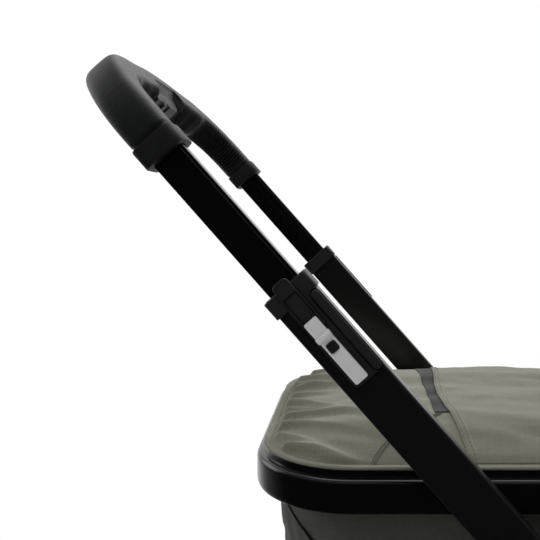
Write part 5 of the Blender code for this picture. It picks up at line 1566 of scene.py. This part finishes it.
class PRAM_OT_cot_body(bpy.types.Operator):
    """Carrycot's cloth body with its lining, and the mattress in it"""

    bl_idname = "pram.cot_body"
    bl_label = "Carrycot body"

    profile = (
        (0.0, 0.0580, 0.0520),
        (0.02, 0.0545, 0.0482),
        (0.05, 0.0528, 0.0462),
        (0.43, 0.0462, 0.0352),
        (0.75, 0.0303, 0.0272),
        (0.92, 0.0205, 0.0250),
        (1.0, 0.0182, 0.0242),
    )  # share of the height, and the distances in at the sides and at the ends

    def inset(self, up):
        """Distances in from the rim's plan at a share of the height, at the sides and at the ends."""
        for (a, side_a, end_a), (b, side_b, end_b) in zip(self.profile, self.profile[1:]):
            if up <= b:
                share = (up - a) / (b - a)
                return side_a + (side_b - side_a) * share, end_a + (end_b - end_a) * share
        return self.profile[-1][1:]

    def execute(self, context):
        low, high = box_of("cot_body")
        self.skin("cot_body_cloth", 0.0, low, high, "dark", "dark_fabric", ("cot_body",))
        self.skin("cot_body_lining", 0.0019, low, high, "lining", "pad_fabric", ())
        self.corner_piping(low, high)
        self.mattress()
        return {"FINISHED"}

    def skin(self, name, within, low, high, finish, slot, replaces):
        plan = cot_plan()
        depth = high.z - low.z
        base = 0.30  # share of the sheet that lies on the bottom
        rim_low, rim_high = box_of("cot_rim")
        middle = (rim_low.x + rim_high.x) / 2
        straight = 0.22  # half of the bottom's straight part
        outside = not within

        def wall(u, up):
            where, out = plan.point(u)
            side, end = self.inset(up)
            inset = side * abs(out.y) + end * abs(out.x)
            s = u * plan.length
            most = 0.0004
            loose = sin(pi * min(up * 1.02, 1.0))
            fold = 0.0026 * ripple(s, up * 0.25, 1.0, 11.0) + 0.0016 * ripple(s, up * 0.5, 2.0, 26.0)
            fold = min(fold, most) * loose
            piping = 0.0012 * hump(up - 0.05, 0.012) if outside else 0.0
            return where - out * (inset + within - fold - piping)

        def shape(u, v):
            if v > base:
                up = (v - base) / (1 - base)
                at = wall(u, up)
                return at_height(at, low.z + within + (depth - within - CLEAR) * up)
            edge = wall(u, 0.0)
            spine = Vector((min(max(edge.x, middle - straight), middle + straight), 0.0))
            return at_height(spine.lerp(edge, max(v / base, 0.002)), low.z + within)

        mesh = surface(shape, 240, 70, sewn=True, reach=(plan.length, 0.42))
        cloth_map(mesh)
        made = settle(name, mesh, finish, "carrycot", slot, replaces, 60.0, thickness=0.0012)

    def corner_piping(self, low, high):
        """Piped seams that curve down the rear corners."""
        plan = cot_plan()
        pieces = []
        for _, sign in SIDES:
            points = []
            for i in range(41):
                up = 1.0 - 0.94 * i / 40
                share = 0.056 + 0.12 * (1 - up)
                where, out = plan.point(share if sign < 0 else 1 - share)
                side_inset, end_inset = self.inset(up)
                inset = side_inset * abs(out.y) + end_inset * abs(out.x)
                at = where - out * (inset - 0.0006)
                points.append(at_height(at, low.z + (high.z - low.z) * up - CLEAR))
            pieces.append(bar(points, 0.0017, 12, flat=Vector((1.0, 0.0, 0.0))))
        settle("cot_body_piping", joined(*pieces), "strip", "carrycot", "dark_fabric")

    def mattress(self):
        low, high = box_of("mattress")
        within = 0.0050  # left round the pad for its swelling
        corner = 0.095
        half = high.y - within
        plan = Plan(low.x + within, high.x - within, half, corner, corner)
        floor = low.z + CLEAR
        rise = high.z - within - floor
        spine = (low.x + half, high.x - half)
        rows = 48

        def shape(u, v):
            where, out = plan.point(u)
            centre = Vector((min(max(where.x, spine[0]), spine[1]), 0.0))
            turn = pi * v - pi / 2
            edge = rise / 2
            over = smooth_step(abs(turn), 0.0, pi / 2)
            share = 1.0 if abs(v - 0.5) <= 0.25 else 1.0 - (abs(v - 0.5) - 0.25) / 0.25
            bulge = cos(min(abs(v - 0.5) / 0.25, 1.0) * pi / 2)
            at = centre.lerp(where - out * (edge * (1.0 - bulge)), share)
            height = floor + edge * (1.0 + (1 if v > 0.5 else -1) * min(over * 1.6, 1.0))
            return at_height(at, height)

        mesh = surface(shape, 160, rows, reach=(plan.length, 0.3))
        made = settle("mattress_pad", mesh, "lining", "carrycot", "pad_fabric", ("mattress",), 60.0)
        swell(made, low, high, most=0.0060)
        self.sew(made, floor + rise / 2)

    def sew(self, made, height):
        """Presses the mattress's sewn edge and its rows of quilting into the swollen mesh."""
        pitch, row_width, row_depth = 0.095, 0.0035, 0.0030
        edge_width, edge_share = 0.0016, 0.006
        top = max(vert.co.z for vert in made.data.vertices)
        for vert in made.data.vertices:
            upper = smooth_step(vert.co.z, height, top)
            seam = hump(vert.co.z - height - 0.006, edge_width)
            row = (vert.co.x / pitch) % 1.0 - 0.5
            line = hump(row * pitch, row_width)
            vert.co.z -= row_depth * upper * line
            vert.co.y *= 1.0 - edge_share * seam
        made.data.update()


def swell(made, low, high, most):
    """Fills a padded piece with air, moving no point further than a limit and keeping in its box."""
    fill = made.copy()
    fill.data = made.data.copy()
    bpy.context.scene.collection.objects.link(fill)
    bpy.context.view_layer.objects.active = fill
    cells = fill.modifiers.new("Cells", "REMESH")
    cells.mode = "VOXEL"
    cells.voxel_size = 0.0055
    fresh = bpy.data.meshes.new_from_object(fill.evaluated_get(bpy.context.evaluated_depsgraph_get()))
    fill.modifiers.clear()
    fill.data = fresh
    rest = [vert.co.copy() for vert in fresh.vertices]
    cloth = fill.modifiers.new("Filling", "CLOTH")
    cloth.settings.use_pressure = True
    cloth.settings.uniform_pressure_force = 4.0
    cloth.settings.effector_weights.gravity = 0.0
    steps = 20
    for step in range(1, steps + 1):
        bpy.context.scene.frame_set(step)
    swollen = fill.evaluated_get(bpy.context.evaluated_depsgraph_get()).data
    for vert, start, moved in zip(fresh.vertices, rest, swollen.vertices):
        shift = moved.co - start
        if shift.length > most:
            shift *= most / shift.length
        place = start + shift
        vert.co = [min(max(place[i], low[i]), high[i]) for i in range(3)]
    fill.modifiers.clear()
    bpy.context.scene.frame_set(1)
    finish = made.data.materials[0]
    made.data = fresh
    made.data.materials.clear()
    made.data.materials.append(finish)
    made.data.shade_smooth()
    fine = made.modifiers.new("Smoothness", "SUBSURF")
    fine.levels = 1
    fine.render_levels = 1
    bpy.data.objects.remove(fill)


class PRAM_OT_apron(bpy.types.Operator):
    """Apron over the carrycot's rear end: flat piping, gathered edge, flap and bare tape"""

    bl_idname = "pram.apron"
    bl_label = "Apron"

    rear_corner = 0.102
    front_corner = 0.020
    band = 0.0094  # width of the flat piping
    puff = 0.115  # from the piping to the crown's full height
    extra_lift = 0.0050  # the padded crown stands over the frame's solid
    flap_line: length("Flap line", "Flap's edge behind the hub", 0.1345)
    tape_line: length("Tape line", "Tape's rear edge behind the hub", 0.1600)
    tape_end: length("Tape's end", "On the near side of the middle", 0.1050)

    def setup(self):
        self.low, self.high = box_of("apron")
        self.seat = self.low.z + sizes().lip
        self.edge = self.seat + sizes().piping
        self.lift = self.high.z + self.extra_lift - self.edge
        self.plan = Plan(self.low.x, self.high.x, self.high.y, self.rear_corner, self.front_corner)
        spine = 0.19
        self.spine = (self.low.x + spine, self.high.x - spine)
        self.gathers = []
        for number in range(11):
            y = -0.160 + 0.033 * number + 0.005 * sin(2.1 * number)
            heading = radians(-30 - 16 * sin(1.7 * number))
            reach = 0.040 + 0.062 * (0.5 + 0.5 * sin(2.9 * number))
            rise = sizes().gather * (0.80 + 0.20 * sin(4.1 * number))
            start = Vector((self.rear_at(y) + self.band, y))
            self.gathers.append((start, Vector((cos(heading), sin(heading))), reach, rise))

    def rear_at(self, y):
        """X of the rear edge at a distance across the pram."""
        past = max(abs(y) - (self.high.y - self.rear_corner), 0.0)
        return self.low.x + self.rear_corner - (self.rear_corner**2 - past**2) ** 0.5

    def inset(self, x, y):
        """Distance in from the rear edge or the sides."""
        radius = self.rear_corner
        back = radius - (x - self.low.x)
        side = radius - (self.high.y - abs(y))
        return radius - hypot(max(back, 0.0), max(side, 0.0)) - min(max(back, side), 0.0)

    def crown(self, distance):
        share = min(max(distance - self.band, 0.0) / self.puff, 1.0)
        return 1.0 - (1.0 - share) ** 2.3

    def folds(self, x, y):
        """Teardrop gathers sewn into the rear edge, running in toward the near side."""
        height = 0.0
        here = Vector((x, y))
        for start, heading, reach, rise in self.gathers:
            offset = here - start
            along = offset.dot(heading)
            if along < 0.0 or along > 3.0 * reach:
                continue
            across = offset.x * heading.y - offset.y * heading.x
            width = 0.0042 + 0.056 * along
            swell = smooth_step(along, 0.0, 0.012) * exp(-((along / reach) ** 1.4))
            height += rise * swell * hump(across, width)
        return height

    def slack(self, x, y):
        """Soft folds that run along the pram."""
        fold = 0.0042 * ripple(x * 0.8 + 0.25 * y, y * 2.2, 1.0, 6.0)
        fold += 0.0022 * ripple(x + 0.5 * y, y * 1.9, 4.0, 15.0)
        return fold + 0.0007 * ripple(x, y, 6.0, 45.0)

    def top(self, x, y):
        inset = self.inset(x, y)
        front = self.high.x - x
        height = self.edge - 0.0008 + self.lift * self.crown(inset) * self.crown(front)
        nearest = min(inset, front)
        height += self.folds(x, y) * smooth_step(nearest, self.band, self.band + 0.006)
        return height + self.slack(x, y) * smooth_step(nearest, 0.016, 0.060)

    def execute(self, context):
        self.setup()
        self.cloth()
        self.flap()
        self.tape()
        self.seams()
        return {"FINISHED"}

    def cloth(self):
        thick = sizes().piping
        rows = [
            (0.0012, 0.0),
            (0.0, 0.30 * thick),
            (0.0002, 0.62 * thick),
            (0.0010, 0.88 * thick),
            (0.0024, thick),
            (0.0050, 1.06 * thick),
            (0.0070, thick),
            (0.0080, 0.86 * thick),
            (0.0086, 0.62 * thick),
            (self.band, 0.60 * thick),
            (self.band + 0.0012, 0.86 * thick),
        ]
        inner = 66
        count = len(rows) + inner - 1

        def shape(u, v):
            i = round(v * count)
            where, out = self.plan.point(u)
            if i < len(rows):
                inset, up = rows[i]
                at = where - out * inset
                return at_height(at, self.seat + up)
            spine = Vector((min(max(where.x, self.spine[0]), self.spine[1]), 0.0))
            share = ((i - len(rows) + 1) / inner) ** 1.3
            at = (where - out * rows[-1][0]).lerp(spine, share)
            return at_height(at, self.top(at.x, at.y))

        mesh = surface(shape, 500, count, reach=(self.plan.length, 0.3))
        cloth_map(mesh)
        placing = ("olive", "carrycot", "olive_fabric", ("apron",))
        made = settle("apron_cloth", mesh, *placing, 75.0, thickness=0.0012)

    def flap_edge(self, y):
        return HUB.x - self.flap_line - 0.0130 * hump(y + 0.02, 0.13)

    def laid(self, name, place, cells, lift, finish, slot, flat, thick):
        """Cloth laid on the apron: place(u, v) is its plan, lift(x, y) its height over the apron."""

        def shape(u, v):
            x, y = place(u, v)
            return Vector((x, y, self.top(x, y) + lift(x, y)))

        mesh = surface(shape, *cells, sewn=False, reach=flat)
        if mesh.faces[0].normal.z < 0:
            bmesh.ops.reverse_faces(mesh, faces=mesh.faces)
        made = settle(name, mesh, finish, "carrycot", slot, (), 60.0, thickness=thick)
        area = min(area_of(made), flat[0] * flat[1])

    def flap(self):
        """Panel over the apron's front half, with a double-stitched hem at its rear edge."""
        margin = self.band + 0.0016
        front = self.high.x - margin
        half = self.high.y - margin
        hem = 0.0090

        def place(u, v):
            y = half * (2 * v - 1)
            edge = self.flap_edge(y)
            return edge + (front - edge) * u**1.4, y

        def lift(x, y):
            rim = smooth_step(min(self.inset(x, y), self.high.x - x) - margin, 0.0, 0.010)
            from_edge = x - self.flap_edge(y)
            return 0.0003 + rim * (0.0016 + 0.0008 * (1 - smooth_step(from_edge, hem, hem + 0.0014)))

        flat = (front - self.flap_edge(0.0) + 0.010, 2 * half + 0.012)
        self.laid("apron_flap", place, (150, 200), lift, "olive", "olive_fabric", flat, 0.0011)

    def tape(self):
        far = self.high.y - self.band - 0.001

        def place(u, v):
            y = -self.tape_end + (far + self.tape_end) * v
            rear = HUB.x - self.tape_line
            return rear + (self.flap_edge(y) + 0.002 - rear) * u, y

        flat = (self.tape_line - self.flap_line, far + self.tape_end + 0.008)
        self.laid("apron_tape", place, (12, 160), lambda x, y: 0.0011, "strip", "dark_fabric", flat, 0.0007)

    def seam_line(self):
        """Seam that curves from the near side to the tape's end."""
        start = Vector((HUB.x - 0.2340, -self.high.y + self.band + 0.001))
        middle = Vector((HUB.x - 0.2150, -0.150))
        end = Vector((HUB.x - self.tape_line + 0.010, -self.tape_end))
        points = []
        for i in range(41):
            t = i / 40
            points.append(start * (1 - t) ** 2 + middle * (2 * t * (1 - t)) + end * t**2)
        return points

    def seams(self):
        near = -self.high.y + self.band + 0.003
        far = self.high.y - self.band - 0.003
        rows = []
        for from_edge in (0.0022, 0.0072):
            row = []
            for i in range(61):
                y = near + (far - near) * i / 60
                row.append(Vector((self.flap_edge(y) + from_edge, y)))
            rows.append((row, 0.0028))
        seam = self.seam_line()
        for aside in (-0.0024, 0.0024):
            row = []
            for a, b in zip(seam, seam[1:]):
                heading = (b - a).normalized()
                row.append(a + Vector((-heading.y, heading.x)) * aside)
            rows.append((row, 0.0004))
        stitches = []
        for points, lift in rows:
            stitches += self.stitch_row(points, lift)
        settle("apron_stitches", joined(*stitches), "thread", "carrycot", "dark_fabric")
        cord = bar([at_height(p, self.top(p.x, p.y) + 0.0002) for p in seam], 0.0010, 10, squash=0.6)
        settle("apron_seam", cord, "binding", "carrycot", "olive_fabric")

    def stitch_row(self, points, lift):
        stitch = sizes().stitch
        pieces = []
        for a, b in zip(points, points[1:]):
            span = (b - a).length
            heading = (b - a) / span
            for number in range(max(int(span / (1.5 * stitch)), 1)):
                start = a + heading * (1.5 * stitch * number)
                line = []
                for share in (0.0, 0.5, 1.0):
                    at = start + heading * (min(stitch, span) * share)
                    arched = 0.0004 * (share == 0.5) - 0.0002
                    line.append(at_height(at, self.top(at.x, at.y) + lift + arched))
                pieces.append(bar(line, 0.00042, 6))
        return pieces


# Canopy


class PRAM_OT_canopy(bpy.types.Operator):
    """Canopy's two bows and the two curved panels sewn over them"""

    bl_idname = "pram.canopy"
    bl_label = "Canopy"

    reach: length("Reach", "Bows' reach from the pivot", 0.300)
    front_angle: angle_of("Front bow", "Front bow's angle", 118)
    middle_angle: angle_of("Middle bow", "Middle bow's angle", 70)

    rise = 0.012  # of the pivot over the rim
    bow_radius = 0.006
    grip_radius = 0.011
    cloth_end = 0.435 - 0.220 - 0.010  # carrycot's front end, from the pivot and less a gap

    def arched(self, half, share):
        """Distance across, and share of the reach, at a share of the way over from the right."""
        start = 0.03
        turn = pi - start - (pi - 2 * start) * share
        return half * signed_power(cos(turn), 2 / 3), sin(turn) ** (2 / 3)

    def bow(self, node, angle, slot, foot, half):
        heading = ray(angle)
        root = heading * 0.004
        straight, spread = 0.032, 0.048  # over the pivot, and from there to the full width
        path = [Vector((0.0, -foot, 0.0)) + root]
        steps = 64
        for i in range(steps + 1):
            y, over = self.arched(half, i / steps)
            reach = self.reach * over
            share = min(max((reach - straight) / spread, 0.0), 1.0)
            across = y - (-1 if y < 0 else 1) * (half - foot) * (1 - share)
            path.append(heading * reach + Vector((0.0, across, 0.0)))
        path.append(Vector((0.0, foot, 0.0)) + root)
        path = [CANOPY_PIVOT + point for point in path]
        thinner = 0.0001  # clear of the cloth
        rod = bar(path, self.bow_radius - thinner, 16, flat=heading.cross(Vector((0.0, 1.0, 0.0))))
        pieces = [rod]
        for _, sign in SIDES:
            centre = CANOPY_PIVOT + Vector((0.0, sign * foot, 0.0))
            pieces.append(turned(band(0.0045, 0.009, -0.006, 0.006, 0.0008), centre, "y", 40))
        settle(f"{node}_rod", joined(*pieces), "matte", node, slot, (node,))

    def execute(self, context):
        half = 0.2145
        for node, angle, slot in (
            ("canopy_front_bow", self.front_angle, "leatherette"),
            ("canopy_middle_bow", self.middle_angle, "matte_black"),
        ):
            near, far = reach_across(node, lambda point: (point - CANOPY_PIVOT).xz.length < 0.011)
            self.bow(node, angle, slot, (near + far) / 2, half)
        self.carry_grip(half)
        self.panels(half)
        return {"FINISHED"}

    def carry_grip(self, half):
        heading = ray(self.front_angle)
        points = []
        for i in range(41):
            y = 0.0595 * (2 * i / 40 - 1)
            reach = self.reach * (1 - (abs(y) / half) ** 3) ** (1 / 3)
            points.append(CANOPY_PIVOT + heading * reach + Vector((0.0, y, 0.0)))
        mesh = bar(points, 0.0108, 28, flat=heading.cross(Vector((0.0, 1.0, 0.0))))
        soften(mesh, 0.002, 3, 60.0)
        settle("carry_grip", mesh, "leather", "canopy_front_bow", "leatherette")

    def panels(self, half):
        front = self.front_angle - (self.grip_radius + CLEAR) / self.reach - radians(0.1)
        self.panel("canopy_rear_panel", 0.0, 0.995 * self.middle_angle, "canopy_middle_bow", half)
        self.panel("canopy_front_panel", 1.005 * self.middle_angle, front, "canopy_front_bow", half)

    def cloth_reach(self, angle):
        """Inside of the cloth from the pivot."""
        top = self.reach + self.bow_radius
        exponent = 2.5
        bent = min(angle, self.middle_angle)
        along = top * cos(self.middle_angle) / self.cloth_end
        upright = top * sin(self.middle_angle) / (1 - along**exponent) ** (1 / exponent)
        share = (abs(cos(bent)) / self.cloth_end) ** exponent + (sin(bent) / upright) ** exponent
        return share ** (-1 / exponent)

    def panel(self, node, first, last, body, half):
        rear = first == 0.0
        drop = self.rise - CLEAR
        over_bow, hem_rise, hem_width = 0.0012, 0.0008, 0.012
        side = half + self.bow_radius + over_bow
        skirt = 6 if rear else 0
        rows = 60 + skirt

        def shape(u, v):
            i = v * rows
            down = 0.0
            if rear and i < skirt:
                angle = 0.0
                down = drop * (1 - i / skirt)
            else:
                angle = first + (last - first) * (i - skirt) / (rows - skirt)
            span = (angle - first) / (last - first)
            slack = 4 * span * (1 - span)
            reach_out = self.cloth_reach(angle) + over_bow
            y, over = self.arched(side, u)
            sag = 0.0045 * slack * over + 0.0016 * ripple(u * 3.0, span, 2.0, 3.0) * slack
            hem = hem_rise * hump(span - 0.03, hem_width) + hem_rise * hump(span - 0.97, hem_width)
            reach = (reach_out - sag + hem) * over
            heading = ray(angle)
            return CANOPY_PIVOT + heading * reach + Vector((0.0, y, -down))

        mesh = surface(shape, 150, rows, sewn=False, reach=(0.75, (last - first) * self.reach))
        outward = sum((face.normal.z * face.calc_area() for face in mesh.faces))
        if outward < 0:
            bmesh.ops.reverse_faces(mesh, faces=mesh.faces)
        made = settle(f"{node}_cloth", mesh, "olive", None, "olive_fabric", (node,), 60.0, thickness=0.0012)
        end = CANOPY_PIVOT + ray(last) * self.reach
        if rear:
            start = CANOPY_PIVOT + ray(0.05) * self.reach
        else:
            stays = 0.415  # share of the rear edge's move that the carrycot keeps
            edge = CANOPY_PIVOT + ray(first) * self.reach
            start = end + (edge - end) * (1 / stays)
        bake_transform(made)


class PRAM_PT_panel(bpy.types.Panel):
    """Lists the pram's pieces, sizes and colours"""

    bl_idname = "PRAM_PT_panel"
    bl_label = "Two-in-one pram"
    bl_space_type = "VIEW_3D"
    bl_region_type = "UI"
    bl_category = "Pram"

    def draw(self, context):
        for piece in PIECES:
            self.layout.operator(piece.bl_idname)
        for group in (context.scene.pram_sizes, context.scene.pram_colours):
            box = self.layout.box()
            for name in group.__annotations__:
                box.prop(group, name)


PIECES = (
    PRAM_OT_stage,
    PRAM_OT_tubes,
    PRAM_OT_latches,
    PRAM_OT_grip,
    PRAM_OT_fold_unit,
    PRAM_OT_chassis,
    PRAM_OT_wheels,
    PRAM_OT_brake,
    PRAM_OT_basket,
    PRAM_OT_cot,
    PRAM_OT_cot_body,
    PRAM_OT_apron,
    PRAM_OT_canopy,
)
CLASSES = (PramSizes, PramColours, *PIECES, PRAM_PT_panel)


def register():
    for item in CLASSES:
        bpy.utils.register_class(item)
    bpy.types.Scene.pram_sizes = bpy.props.PointerProperty(type=PramSizes)
    bpy.types.Scene.pram_colours = bpy.props.PointerProperty(type=PramColours)


def unregister():
    del bpy.types.Scene.pram_sizes
    del bpy.types.Scene.pram_colours
    for item in reversed(CLASSES):
        bpy.utils.unregister_class(item)


def main():
    register()
    make_finishes()
    for piece in PIECES:
        group, operator = piece.bl_idname.split(".")
        getattr(getattr(bpy.ops, group), operator)()


if __name__ == "__main__":
    main()
